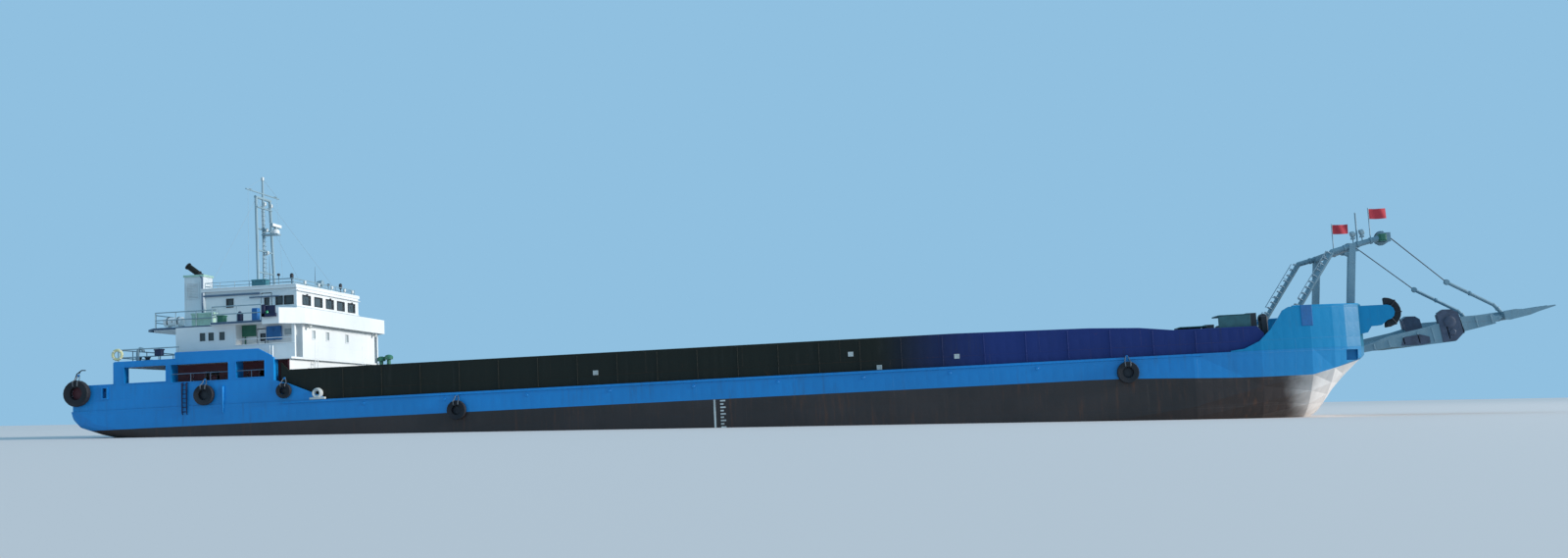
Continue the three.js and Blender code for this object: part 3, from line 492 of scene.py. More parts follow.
def use(net, name, **inputs):
    """Places one of the shared effects."""
    if name not in EFFECTS:
        makers = {"Weather": make_weather, "Plates": make_plates, "Level": make_level,
            "Relief": make_relief}
        EFFECTS[name] = makers[name]()
    node = net.add("ShaderNodeGroup", node_tree=EFFECTS[name])
    for key, value in inputs.items():
        net.put(node.inputs[key], value)
    return node.outputs


def rgba(colour):
    return (colour[0], colour[1], colour[2], 1.0)


def shade(colour, strength):
    """A colour made darker or lighter."""
    return rgba([c * strength for c in colour])


def start_material(name):
    """An empty material with its shader, net and object coordinates."""
    material = bpy.data.materials.new(name)
    material.use_nodes = True
    tree = material.node_tree
    tree.nodes.clear()
    net = Net(tree)
    shader = net.add("ShaderNodeBsdfPrincipled")
    net.add("ShaderNodeOutputMaterial", {"Surface": shader.outputs[0]})
    vector = net.add("ShaderNodeTexCoord").outputs["Object"]
    return material, net, shader.inputs, vector


RUST = (0.16, 0.055, 0.022, 1.0)
GRIME = (0.05, 0.05, 0.045, 1.0)


def steel_paint(name, colour, rough=0.42, streaks=0.3, rust=0.12, depth=0.003, plate=(0.6, 0.18),
        second=None, mask=None, gleam=0.5):
    """Painted ship's steel with streaks, a little rust, plate seams and dents.

    second is a colour for where mask, which is made from the net and the object's coordinates, is 1.
    """
    material, net, shader, vector = start_material(name)
    weather = use(net, "Weather", Vector=vector, Size=1.0)
    plates = use(net, "Plates", Vector=vector, Length=plate[0], Height=plate[1])
    paint = rgba(colour)
    dull = shade(colour, 0.72)
    if mask is not None:
        where = mask(net, vector)
        paint = net.mix(where, paint, rgba(second))
        dull = net.mix(where, dull, shade(second, 0.72))
    tone = net.times(net.plus(weather["Blotches"], net.times(plates["Tone"], 0.3)), 0.45)
    base = net.mix(tone, paint, dull)
    base = net.mix(net.times(weather["Streaks"], streaks), base, GRIME)
    spots = net.span(net.noise(vector, 14.0, 8.0, 0.7), 0.62, 0.74)
    spots = net.times(spots, rust)
    seam_rust = net.times(plates["Seam"], net.times(weather["Blotches"], rust))
    base = net.mix(net.plus(spots, seam_rust, clamp=True), base, RUST)
    net.put(shader["Base Color"], base)
    gloss = net.plus(rough, net.times(weather["Streaks"], 0.2))
    net.put(shader["Roughness"], net.plus(gloss, net.times(spots, 0.4), clamp=True))
    shader["Specular IOR Level"].default_value = gleam
    relief = use(net, "Relief", Seam=plates["Seam"], Dent=plates["Dent"], Grain=weather["Grain"],
        Depth=depth)
    net.put(shader["Normal"], relief["Normal"])
    return material


def faces_ahead(net, vector):
    """1 on what faces the bow."""
    normal = net.add("ShaderNodeNewGeometry").outputs["True Normal"]
    return net.span(net.split(normal)["X"], 0.6, 0.7)


def shade_ahead_mask(net, vector):
    """Rises from 0 to 1 as a face turns towards the bow; it places the painted shade on the bow's faces that
    look ahead.
    """
    normal = net.add("ShaderNodeNewGeometry").outputs["True Normal"]
    return net.span(net.split(normal)["X"], 0.3, 0.95, 0.0, 1.0, "LINEAR")


def lies_ahead(net, vector):
    """Rises from 0 to 1 along the fore part of the cargo walls."""
    return net.span(net.minus(net.split(vector)["X"], ORIGIN.x), 5.1, 5.9)


def hull_paint(name, paints):
    """The hull: side paint over bottom paint, worn deck paint on what faces up, grime at the water, a
    painted highlight on the bottom under the bow and painted shade on the bow's faces that look ahead.
    """
    material, net, shader, vector = start_material(name)
    weather = use(net, "Weather", Vector=vector, Size=1.0)
    plates = use(net, "Plates", Vector=vector, Length=0.6, Height=0.155)
    parts = net.split(vector)
    # The paint line dips towards the bow and then follows the chine up to the stem
    x = net.minus(parts["X"], ORIGIN.x)
    line = net.minus(paints.paint_line, net.span(x, 6.4, 7.45, 0.0, 0.031))
    line = net.plus(line, net.span(x, 7.7, 8.05, 0.0, 0.085, "LINEAR"))
    above = use(net, "Level", Vector=vector, Level=line, Soft=0.0012, Wobble=0.0015)["Above"]
    tone = net.times(net.plus(weather["Blotches"], net.times(plates["Tone"], 0.3)), 0.5)
    side = net.mix(tone, rgba(paints.hull_blue), shade(paints.hull_blue, 0.7))
    side = net.mix(net.times(weather["Streaks"], 0.35), side, GRIME)
    bottom = net.mix(weather["Blotches"], rgba(paints.bottom), shade(paints.bottom, 1.9))
    bottom = net.mix(net.times(weather["Streaks"], 0.5), bottom, RUST)
    # Painted highlight: the bottom under the bow turns pale towards the stem, standing in for glare from the
    # light ahead.
    glare_mask = net.span(net.plus(x, net.times(weather["Blotches"], 0.1)), 7.57, 7.82, 0.0, 0.95)
    bottom = net.mix(glare_mask, bottom, rgba(paints.bare_bow))
    fade = net.span(x, 6.9, 8.0)
    # Painted shade: the bow's faces darken as they turn to look ahead, against the light from ahead.
    bow = net.mix(shade_ahead_mask(net, vector), rgba(paints.bow_blue), rgba(paints.ahead_face_shade))
    side = net.mix(net.times(fade, 0.8), side, bow)
    base = net.mix(above, bottom, side)
    normal = net.add("ShaderNodeNewGeometry").outputs["True Normal"]
    up = net.split(normal)["Z"]
    high = net.span(parts["Z"], 0.47, 0.476)
    deck = net.times(net.span(up, 0.7, 0.8), high)
    worn = net.mix(weather["Blotches"], rgba(paints.deck), shade(paints.deck, 0.55))
    scrape = net.span(net.noise(net.stretch(vector, 1.0, 12.0, 1.0), 6.0, 6.0, 0.7), 0.56, 0.7)
    worn = net.mix(net.times(scrape, 0.7), worn, RUST)
    base = net.mix(deck, base, worn)
    net.put(shader["Base Color"], base)
    rough = net.plus(0.4, net.times(weather["Streaks"], 0.25))
    net.put(shader["Roughness"], net.plus(rough, net.times(deck, 0.3), clamp=True))
    relief = use(net, "Relief", Seam=plates["Seam"], Dent=plates["Dent"], Grain=weather["Grain"],
        Depth=0.0014)
    net.put(shader["Normal"], relief["Normal"])
    return material


def plain_finish(name, colour, rough=0.5, metal=0.0, grain=0.3, scale=30.0):
    """A fitting's finish: one colour with a fine mottle and a soft relief."""
    material, net, shader, vector = start_material(name)
    mottle = net.span(net.noise(vector, scale, 5.0, 0.6), 0.35, 0.7)
    net.put(shader["Base Color"], net.mix(net.times(mottle, grain), rgba(colour), shade(colour, 0.45)))
    net.put(shader["Roughness"], net.plus(rough, net.times(mottle, 0.12), clamp=True))
    shader["Metallic"].default_value = metal
    bump = net.add("ShaderNodeBump", {"Height": mottle, "Distance": 0.0006, "Strength": 0.5})
    net.put(shader["Normal"], bump.outputs["Normal"])
    return material


def rubber(name):
    """Old tyre rubber, dusty in patches."""
    material, net, shader, vector = start_material(name)
    weather = use(net, "Weather", Vector=vector, Size=2.0)
    net.put(shader["Base Color"], net.mix(weather["Blotches"], (0.006, 0.007, 0.012, 1),
        (0.022, 0.022, 0.026, 1)))
    shader["Roughness"].default_value = 0.75
    rings = net.times(weather["Grain"], 0.0012)
    bump = net.add("ShaderNodeBump", {"Height": rings, "Distance": 1.0, "Strength": 1.0})
    net.put(shader["Normal"], bump.outputs["Normal"])
    return material


def glass(name, colour, gloss):
    """Window glass with smears, dark or with a pale curtain behind it."""
    material, net, shader, vector = start_material(name)
    smear = net.noise(vector, 8.0, 4.0)
    net.put(shader["Base Color"], net.mix(smear, shade(colour, 0.6), shade(colour, 1.3)))
    net.put(shader["Roughness"], net.span(smear, 0.3, 0.8, gloss * 0.5, gloss * 1.6))
    shader["Specular IOR Level"].default_value = 0.7
    return material


def cloth(name, colour):
    """Thin woven flag cloth."""
    material, net, shader, vector = start_material(name)
    threads = net.add("ShaderNodeTexWave", {"Vector": vector, "Scale": 120.0,
        "Distortion": 0.4}).outputs["Fac"]
    fade = net.noise(vector, 20.0, 3.0)
    net.put(shader["Base Color"], net.mix(fade, rgba(colour), shade(colour, 0.75)))
    shader["Roughness"].default_value = 0.85
    shader["Sheen Weight"].default_value = 0.3
    bump = net.add("ShaderNodeBump", {"Height": threads, "Distance": 0.0002, "Strength": 0.5})
    net.put(shader["Normal"], bump.outputs["Normal"])
    return material


FINISH = {}


# Finishes of one colour. columns: key, material, colour, roughness, metal, mottle, size of the mottle
PLAIN_FINISHES = (
    ("bronze", "screw_bronze_worn", (0.55, 0.36, 0.14), 0.32, 1.0, 0.5, 20.0),
    ("gasket", "window_gasket", (0.02, 0.022, 0.025), 0.6),
    ("navy", "navy_paint", (0.006, 0.012, 0.06), 0.45),
    ("pale_wire", "pale_wire_rope", (0.34, 0.44, 0.5), 0.5, 0.2, 0.3, 300.0),
    ("wire", "wire_rope", (0.16, 0.18, 0.2), 0.5, 0.6, 0.6, 300.0),
    ("chain", "galvanised_chain", (0.11, 0.1, 0.09), 0.6, 0.4, 0.7, 80.0),
    ("marking", "pale_marking", (0.62, 0.64, 0.62), 0.6, 0.0, 0.5, 12.0),
    ("lamp", "lamp_lens", (0.7, 0.72, 0.7), 0.15),
    ("teal_dark", "dark_teal_paint", (0.03, 0.12, 0.14), 0.5),
    ("green", "green_paint", (0.03, 0.16, 0.1), 0.5),
    ("dark", "dark_fitting", (0.02, 0.022, 0.03), 0.55),
    ("liner", "dark_red_lining", (0.09, 0.015, 0.02), 0.6),
    ("sea_blue", "sea_blue_paint", (0.012, 0.14, 0.38), 0.45),
    # Dark blue-grey for rails and pipes, and for the bands of painted shadow on the wheelhouse and along the
    # bridge deck's edge.
    ("gutter", "gutter_paint", (0.1, 0.16, 0.24), 0.5),
    ("green_wash", "pale_green_paint", (0.42, 0.62, 0.5), 0.5),
    ("buoy", "pale_yellow_paint", (0.75, 0.7, 0.38), 0.55),
    ("green_lens", "green_lens", (0.02, 0.3, 0.12), 0.15),
    ("red_lens", "red_lens", (0.4, 0.02, 0.02), 0.15),
    # A darker ramp steel standing in for the shade on the ramp's stands and side plates: painted shade.
    ("ramp_dark", "dark_ramp_steel", (0.07, 0.09, 0.14), 0.55, 0.2, 0.5, 25.0),
)


def make_finishes(paints):
    """All the finishes, by name."""
    FINISH.clear()
    FINISH["hull"] = hull_paint("hull_steel", paints)
    FINISH["blue"] = steel_paint("topside_steel", paints.hull_blue, 0.42, 0.3, 0.1, 0.0012)
    # The bow steel carries painted shade on its faces that look ahead.
    FINISH["bow_blue"] = steel_paint("bow_steel", paints.bow_blue, 0.42, 0.25, 0.12, 0.0012,
        second=paints.ahead_face_shade, mask=shade_ahead_mask, gleam=0.25)
    FINISH["black"] = steel_paint("wall_steel", paints.wall_black, 0.5, 0.3, 0.2, 0.002,
        second=paints.wall_navy, mask=lies_ahead, gleam=0.25)
    FINISH["white"] = steel_paint("house_steel", paints.house_white, 0.45, 0.12, 0.06, 0.0008, (0.35, 0.12))
    FINISH["red"] = steel_paint("lower_house_steel", paints.house_red, 0.55, 0.2, 0.1, 0.0008, (0.35, 0.12),
        paints.house_white, faces_ahead)
    FINISH["mast"] = steel_paint("mast_steel", paints.mast_grey, 0.4, 0.2, 0.1, 0.0004)
    FINISH["teal"] = steel_paint("locker_steel", paints.locker_teal, 0.45, 0.2, 0.1, 0.0006)
    FINISH["ramp"] = steel_paint("ramp_steel", paints.ramp_grey, 0.5, 0.35, 0.4, 0.0015, (0.25, 0.1))
    FINISH["machine"] = steel_paint("deck_machine_steel", paints.machine, 0.5, 0.3, 0.35, 0.001)
    FINISH["rubber"] = rubber("tyre_rubber")
    FINISH["glass"] = glass("window_glass", (0.045, 0.052, 0.05), 0.1)
    FINISH["flag"] = cloth("flag_cloth_red", paints.flag_red)
    FINISH["pale_glass"] = glass("curtained_glass", (0.42, 0.48, 0.5), 0.25)
    for key, *values in PLAIN_FINISHES:
        FINISH[key] = plain_finish(*values)


SLOT_FINISH = {"hull_paint": "hull", "topside_blue": "blue", "wall_black": "black", "house_white": "white",
    "house_red": "red", "mast_grey": "mast", "locker_teal": "teal", "ramp_grey": "ramp",
    "screw_bronze": "bronze", "tyre": "rubber", "machinery": "machine", "flag_cloth": "flag"}


# Sizes and colours


def length(name, description, default, low=0.0):
    return bpy.props.FloatProperty(name=name, description=description, default=default, min=low,
        unit="LENGTH", subtype="DISTANCE", precision=4)


def colour(name, description, default):
    return bpy.props.FloatVectorProperty(name=name, description=description, default=default, size=3,
        min=0.0, max=1.0, subtype="COLOR")


class BargePaints(bpy.types.PropertyGroup):
    """Colours of the paints, and where the side paint ends."""

    paint_line: length("Paint line", "Height of the lower edge of the side paint in the model", 0.355)
    hull_blue: colour("Hull blue", "Side paint of the hull", (0.003, 0.25, 0.64))
    bow_blue: colour("Bow blue", "Paint of the raised bow", (0.004, 0.25, 0.5))
    # Painted shade on the bow's faces that look ahead.
    ahead_face_shade: colour("Shade ahead", "Paint of the bow's faces that look ahead", (0.002, 0.12, 0.2))
    bottom: colour("Bottom paint", "Paint of the bottom", (0.02, 0.013, 0.012))
    # Painted highlight on the bottom under the bow, standing in for glare.
    bare_bow: colour("Worn bow", "Worn bottom paint under the bow", (0.8, 0.77, 0.74))
    deck: colour("Deck paint", "Worn paint of the decks", (0.09, 0.12, 0.12))
    wall_black: colour("Wall black", "Paint of the cargo walls", (0.012, 0.014, 0.009))
    wall_navy: colour("Wall navy", "Paint of the fore part of the cargo walls", (0.015, 0.035, 0.18))
    house_white: colour("House white", "Paint of the upper houses", (0.8, 0.82, 0.82))
    house_red: colour("House red", "Paint of the house behind the side openings", (0.16, 0.03, 0.035))
    mast_grey: colour("Mast grey", "Paint of mast and rails", (0.25, 0.36, 0.41))
    locker_teal: colour("Locker teal", "Paint of the roof locker", (0.05, 0.2, 0.24))
    ramp_grey: colour("Ramp grey", "Paint of ramp and gantry", (0.2, 0.33, 0.4))
    machine: colour("Machine grey", "Paint of the deck machines", (0.03, 0.035, 0.045))
    flag_red: colour("Flag red", "Cloth of the flags", (0.75, 0.05, 0.07))


class BargeStage(bpy.types.PropertyGroup):
    """Floor, lights and background."""

    water_aft: length("Water aft", "Height of the water at the transom of the model", 0.312)
    floor_size: length("Floor size", "Length of the floor", 120.0)
    floor_pale: colour("Floor", "Colour of the floor", (0.66, 0.6, 0.57))
    sky: colour("Background", "Colour of the background", (0.31, 0.585, 0.83))
    sky_strength: bpy.props.FloatProperty(name="Background light",
        description="Strength of the background light", default=0.9, min=0.0)
    key_power: bpy.props.FloatProperty(name="Key light", description="Power of the light ahead of the bow",
        default=1500.0, min=0.0, subtype="POWER", unit="POWER")
    sun_strength: bpy.props.FloatProperty(name="Soft sun",
        description="Strength of the soft light from ahead", default=3.0, min=0.0)


# Pieces, and the operators that add them


class BARGE_OT_finishes(bpy.types.Operator):
    """Gives every part of the row its finish"""

    bl_idname = "barge.finishes"
    bl_label = "Finishes"

    def execute(self, context):
        make_finishes(context.scene.barge_paints)
        for name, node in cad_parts.items():
            slot = node.data.materials[0].name.split(".")[0]
            finish = SLOT_FINISH[slot]
            if name.startswith("bow_bulwark"):
                finish = "bow_blue"
            node.data.materials[0] = FINISH[finish]
        return {"FINISHED"}


# Radius of the hoist wires
WIRE = 0.035


def hoist_wires(side, s):
    """The wire from a sheave to the flap's lever. It comes over the sheave and leaves it straight."""
    sheave = Vector((82.8, s * 3.3, 11.5))
    lever = lever_end(s)
    angles = [math.radians(150 - 12 * i) for i in range(9)]
    over = [sheave + Vector((math.cos(a), 0, math.sin(a))) * 0.38 for a in angles]
    top = over.pop()
    middle = top.lerp(lever, 0.85)
    steps = 30
    first = Form()
    first.bar(over + [top.lerp(middle, i / steps) for i in range(steps + 1)], WIRE, 6)
    wire = first.make("hoist_wire_upper_" + side, "wire", body=None)
    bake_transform(wire)
    second = Form()
    second.bar([middle.lerp(lever, i / steps) for i in range(steps + 1)], WIRE, 6)
    wire = second.make("hoist_wire_lower_" + side, "wire", body=None)
    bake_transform(wire)


class BARGE_OT_hoist(bpy.types.Operator):
    """Adds the hoist wires of the ramp"""

    bl_idname = "barge.hoist"
    bl_label = "Hoist wires"

    def execute(self, context):
        on_both_sides(hoist_wires)
        return {"FINISHED"}


def side_lines(side, s):
    """The rubbing strake and the draft marks."""
    strake = Form()
    strake.bar([(13.8, s * 8.0, 4.68), (30, s * 8.0, 4.68), (50, s * 8.0, 4.68), (70.5, s * 7.96, 4.68)],
        0.06, 8)
    strake.make("rubbing_strake_" + side, "hull")

    marks = Form()
    marks.plate([(-0.06, 0), (0.06, 0), (0.06, 1.75), (-0.06, 1.75)], 0.012, (41.27, s * 8.006, 1.78),
        (-s, 0, 0), (0, 0, 1))
    for i in range(9):
        wide = 0.32 if i % 2 == 0 else 0.2
        marks.plate([(0, 0), (wide, 0), (wide, 0.09), (0, 0.09)], 0.012, (41.62, s * 8.006, 1.8 + 0.2 * i),
            (1, 0, 0), (0, 0, 1))
    marks.make("draft_marks_" + side, "marking")


def ladder_and_pipe(side, s):
    """The ladder and the drain pipe on the quarter."""
    ladder = Form()
    for x in (7.42, 7.72):
        ladder.bar([(x, s * 7.94, 6.3), (x, s * 8.06, 6.25), (x, s * 8.08, 4.35), (x, s * 7.99, 4.28)],
            0.03, 6)
    for i in range(7):
        ladder.bar([(7.42, s * 8.07, 4.45 + 0.28 * i), (7.72, s * 8.07, 4.45 + 0.28 * i)], 0.022, 6)
    ladder.make("side_ladder_" + side, "navy")

    pipe = Form()
    pipe.bar([(10.08, s * 7.94, 5.95), (10.08, s * 8.03, 5.9), (10.08, s * 8.05, 4.32),
        (10.08, s * 7.99, 4.26)], 0.05, 8)
    for z in (4.6, 5.1, 5.6):
        pipe.block((10.0, s * 8.0 - 0.05, z), (10.16, s * 8.0 + 0.09, z + 0.06))
    pipe.make("drain_pipe_" + side, "blue")


def plating_openings(side, s):
    """Rims, pillars and rails of the openings in the side plating."""
    rims = Form()
    u = (-s, 0, 0)
    for x0, x1, z0, z1 in ((6.65, 10.42, 6.35, 7.45), (10.95, 12.8, 6.42, 7.45), (3.55, 6.3, 6.45, 7.45)):
        rims.rim(((x0 + x1) / 2, s * 7.955, (z0 + z1) / 2), u, Z_AXIS, x1 - x0, z1 - z0, 0.05, 0.05)
    rims.rim((2.235, s * 7.97, 5.89), u, Z_AXIS, 0.27, 0.62, 0.09, 0.09)
    for x in (4.2, 5.6, 8.4, 9.9, 11.8):
        top = 8.1 if x > 6.9 else 7.76
        rims.post(x, s * 7.72, 0.03, 0.1, 7.5, top)
    rims.bar([(6.9, s * 7.88, 8.2), (12.38, s * 7.88, 8.16), (13.3, s * 7.88, 7.66)], 0.05, 8)
    rims.bar([(2.85, s * 7.88, 7.8), (6.85, s * 7.88, 7.8)], 0.05, 8)
    rims.bar([(0.15, s * 7.88, 6.4), (2.75, s * 7.88, 6.4)], 0.05, 8)
    rims.make("opening_rims_" + side, "blue")

    rail = Form()
    rail.bar([(6.66, s * 7.86, 6.86), (8.5, s * 7.86, 6.86), (10.41, s * 7.86, 6.86)], 0.03, 6)
    rail.bar([(10.96, s * 7.86, 6.86), (12.79, s * 7.86, 6.86)], 0.03, 6)
    for x in (7.9, 9.2, 11.9):
        rail.bar([(x, s * 7.86, 6.3), (x, s * 7.86, 6.86)], 0.025, 6)
    rail.make("opening_rails_" + side, "gutter")


def stern_davit(side, s):
    """The small davit that holds the stern tyre."""
    davit = Form()
    davit.bar([(0.2, s * 7.88, 6.4), (0.2, s * 7.88, 6.85), (0.34, s * 7.9, 7.2), (0.7, s * 7.95, 7.42),
        (0.97, s * 7.98, 7.4)], 0.035, 8)
    davit.bar([(0.2, s * 7.88, 6.55), (0.24, s * 7.9, 6.75), (0.62, s * 7.94, 7.36)], 0.02, 6)
    davit.block((0.1, s * 7.88 - 0.11, 6.4), (0.32, s * 7.88 + 0.11, 6.5))
    davit.turned([(-0.14, 0.05), (-0.12, 0.11), (-0.04, 0.06), (0.04, 0.06), (0.12, 0.11), (0.14, 0.05)],
        (0.35, s * 7.88, 6.56), Y_AXIS, 12)
    davit.make("stern_davit_" + side, "dark")


# The tyres on each side. columns: x, z, outer and inner radius, width, y of the plating, y of the backing
# plate and shade disc
TYRES = (
    (0.5, 5.95, 0.84, 0.42, 0.42, 7.95, 7.95),
    (8.9, 5.45, 0.65, 0.33, 0.36, 7.95, 7.95),
    (14.1, 5.45, 0.48, 0.24, 0.3, 7.95, 7.9),
    (25.2, 3.7, 0.6, 0.3, 0.36, 8.0, 8.0),
    (66.1, 3.9, 0.65, 0.33, 0.36, 8.0, 8.0),
)


def tyre_gear(side, s):
    """What stands behind the tyres and what they hang on: a dark red backing plate in the stern tyre, and
    near black discs as painted shade in the others' holes.
    """
    # Painted shade: a near black disc in each tyre's hole but the stern one's, which gets a dark red backing
    # plate.
    backing_and_hole_shade = Form()
    for x, z, _, radius, _, _, wall in TYRES:
        backing_and_hole_shade.slot = 0 if x < 1 else 1
        backing_and_hole_shade.turned([(-0.02, radius * 0.7), (-0.01, radius - 0.01), (0.08, radius - 0.01),
            (0.1, radius * 0.7)], (x, s * wall, z), (0, s, 0), 20)
    backing_and_hole_shade.make("tyre_backings_and_hole_shade_" + side, "liner", "dark")

    lashing = Form()
    shackles = Form()
    for x, z, outer, inner, width, wall, _ in TYRES:
        out = s * (wall + width + 0.02)
        near = s * (wall + 0.03)
        for dx in (-0.16, 0.16):
            path = [(x + dx * 0.4, near, z + outer + 0.32), (x + dx, s * (wall + width * 0.5),
                z + outer + 0.03), (x + dx, out, z + outer * 0.9), (x + dx * 0.9, out, z + inner + 0.05),
                (x + dx * 0.8, s * (wall + width * 0.55), z + inner - 0.03),
                (x + dx * 0.6, near, z + inner)]
            lashing.bar(path, 0.028, 6)
        shackles.turned([(-0.03, 0.07), (0.02, 0.07), (0.04, 0.05)], (x, s * wall, z + outer + 0.3),
            (0, s, 0), 12)
        shackles.ring((x, near + s * 0.02, z + outer + 0.29), Y_AXIS, 0.06, 0.018, 12, 6)
    lashing.make("tyre_lashings_" + side, "wire")
    shackles.make("tyre_shackles_" + side, "blue")


def anodes(side, s):
    """Anodes under the counter."""
    blocks = Form()
    for x, y, z in ((8.5, 5.0, 1.6), (10.5, 5.0, 1.11), (12.5, 5.0, 0.63)):
        turn = Matrix.Translation((x, s * y, z)) @ Matrix.Rotation(math.atan2(2.75, 11.3), 4, "Y")
        blocks.block((-0.4, -0.1, -0.12), (0.4, 0.1, 0.03), 0.04, turn)
    blocks.make("anodes_" + side, "chain")


class BARGE_OT_hull_fittings(bpy.types.Operator):
    """Adds the strake, draft marks, side ladder, rims, davits, tyre lashings and anodes"""

    bl_idname = "barge.hull_fittings"
    bl_label = "Hull fittings"

    def execute(self, context):
        on_both_sides(side_lines, ladder_and_pipe, plating_openings, stern_davit, tyre_gear, anodes)
        return {"FINISHED"}


def cargo_wall_trim(side, s):
    """The cap, stiffeners and pale plates of a cargo wall."""
    cap = Form()
    cap.bar([(x, s * 7.6, z + 0.01) for x, z in WALL_TOP], 0.06, 8)
    cap.bar([(73.85, s * 7.6, 6.2), (74.2, s * 7.6, 5.8), (74.2, s * 7.6, 4.9)], 0.06, 8)
    for i in range(22):
        x = 17.75 + 2.5 * i
        cap.post(x, s * 7.66, 0.03, 0.03, 4.86, wall_top(x) - 0.05, 0.01)
    cap.make("wall_cap_" + side, "black")

    plates = Form()
    for x, z in ((33.9, 5.56), (49.7, 5.87), (51.4, 4.98), (56.1, 5.4)):
        plates.rim((x, s * 7.66, z), (-s, 0, 0), Z_AXIS, 0.2, 0.16, 0.06, 0.05)
        plates.post(x, s * 7.66, 0.11, 0.02, z - 0.09, z + 0.09)
    plates.make("wall_plates_" + side, "marking")


def waist_fittings(side, s):
    """The fairlead and drains of the waist, and the gangway's posts."""
    fairlead = Form()
    fairlead.turned([(-0.2, 0.24), (-0.14, 0.31), (0.0, 0.34), (0.14, 0.31), (0.2, 0.24), (0.12, 0.14),
        (-0.12, 0.14), (-0.2, 0.24)], (16.2, s * 7.88, 5.2), Y_AXIS, 20)
    fairlead.block((15.7, s * 7.88 - 0.12, 4.81), (16.7, s * 7.88 + 0.12, 4.95))
    fairlead.make("waist_fairlead_" + side, "marking")

    drains = Form()
    for i in range(10):
        x = 19.2 + 5.2 * i
        drains.turned([(-0.02, 0.1), (0.03, 0.1), (0.05, 0.08)], (x, s * 8.0, 4.4), (0, s, 0), 12)
        drains.block((x - 0.16, s * 8.0 - 0.01, 4.5), (x + 0.16, s * 8.0 + 0.05, 4.54), 0.01)
    drains.make("scuppers_" + side, "hull")

    posts = Form()
    for x in (12.86, 13.05):
        posts.bar([(x, s * 7.3, 7.6), (x, s * 7.3, 8.32), (x, s * 7.3, 8.38)], [0.05, 0.05, 0.03], 8)
    posts.bar([(12.86, s * 7.3, 8.2), (13.05, s * 7.3, 8.2)], 0.03, 6)
    posts.make("gangway_posts_" + side, "white")


def lashing_rings():
    """Rings in the cargo deck."""
    rings = Form()
    for i in range(12):
        for y in (-5.4, -1.8, 1.8, 5.4):
            x = 19.0 + 4.5 * i
            rings.turned([(0.0, 0.14), (0.02, 0.14), (0.03, 0.11)], (x, y, 4.815), Z_AXIS, 10)
            turn = Matrix.Translation((x, y, 4.86)) @ Matrix.Rotation(0.5, 4, "Y")
            hoop = [turn @ Vector((0.09 * math.cos(a), 0.09 * math.sin(a), 0.0))
                for a in [math.pi * k / 5 for k in range(10)]]
            rings.bar(hoop, 0.02, 5, True)
    rings.make("lashing_rings", "chain")


def manholes():
    """Bolted covers in the cargo deck."""
    covers = Form()
    for x in (22.5, 36.5, 50.5, 64.5):
        for y in (-6.4, 6.4):
            covers.turned([(0.0, 0.36), (0.03, 0.36), (0.03, 0.3), (0.06, 0.28)], (x, y, 4.815), Z_AXIS, 20)
            for k in range(8):
                a = math.pi * k / 4
                covers.turned([(0, 0.03), (0.03, 0.03), (0.04, 0.015)],
                    (x + 0.33 * math.cos(a), y + 0.33 * math.sin(a), 4.84), Z_AXIS, 6)
    covers.make("manholes", "machine")


class BARGE_OT_cargo_deck(bpy.types.Operator):
    """Adds the caps and drain plates of the cargo walls, lashing rings and manholes"""

    bl_idname = "barge.cargo_deck"
    bl_label = "Cargo deck"

    def execute(self, context):
        on_both_sides(cargo_wall_trim, waist_fittings)
        lashing_rings()
        manholes()
        return {"FINISHED"}


def poop_windows():
    """Windows of the poop house."""
    rims = Form()
    panes = Form()
    curtained = Form()
    for s in (-1, 1):
        for x in (8.3, 8.87, 9.6):
            window(rims, panes, (x, s * 7.05, 9.175), (-s, 0, 0), 0.4, 0.55)
    for y in (-4.4, -2.2, 1.05):
        window(rims, curtained, (14.5, y, 9.125), Y_AXIS, 0.44, 0.55)
    rims.make("poop_window_rims", "white")
    panes.make("poop_window_panes", "glass")
    curtained.make("poop_curtained_panes", "pale_glass")


def door_trim(name, finish, x, y, z, side, s):
    """Window and handle of a door that is hinged at x in a side wall. y is the wall's outer face."""
    body = name + "_" + side
    handle = Form()
    pane = Form()
    window(handle, pane, (x + 0.35, s * y, z + 0.425), (-s, 0, 0), 0.3, 0.45, 0.03)
    near, far = s * (y - 0.01), s * (y + 0.07)
    handle.bar([(x + 0.52, near, z), (x + 0.52, far, z), (x + 0.52, far, z + 0.15),
        (x + 0.52, near, z + 0.15)], 0.015, 6)
    handle.make(name + "_trim_" + side, finish, body=body)
    pane.make(name + "_pane_" + side, "glass", body=body)


def poop_door(side, s):
    """Window and handle of a poop door."""
    door_trim("poop_door", "navy", 11.51, 6.1, 8.6, side, s)


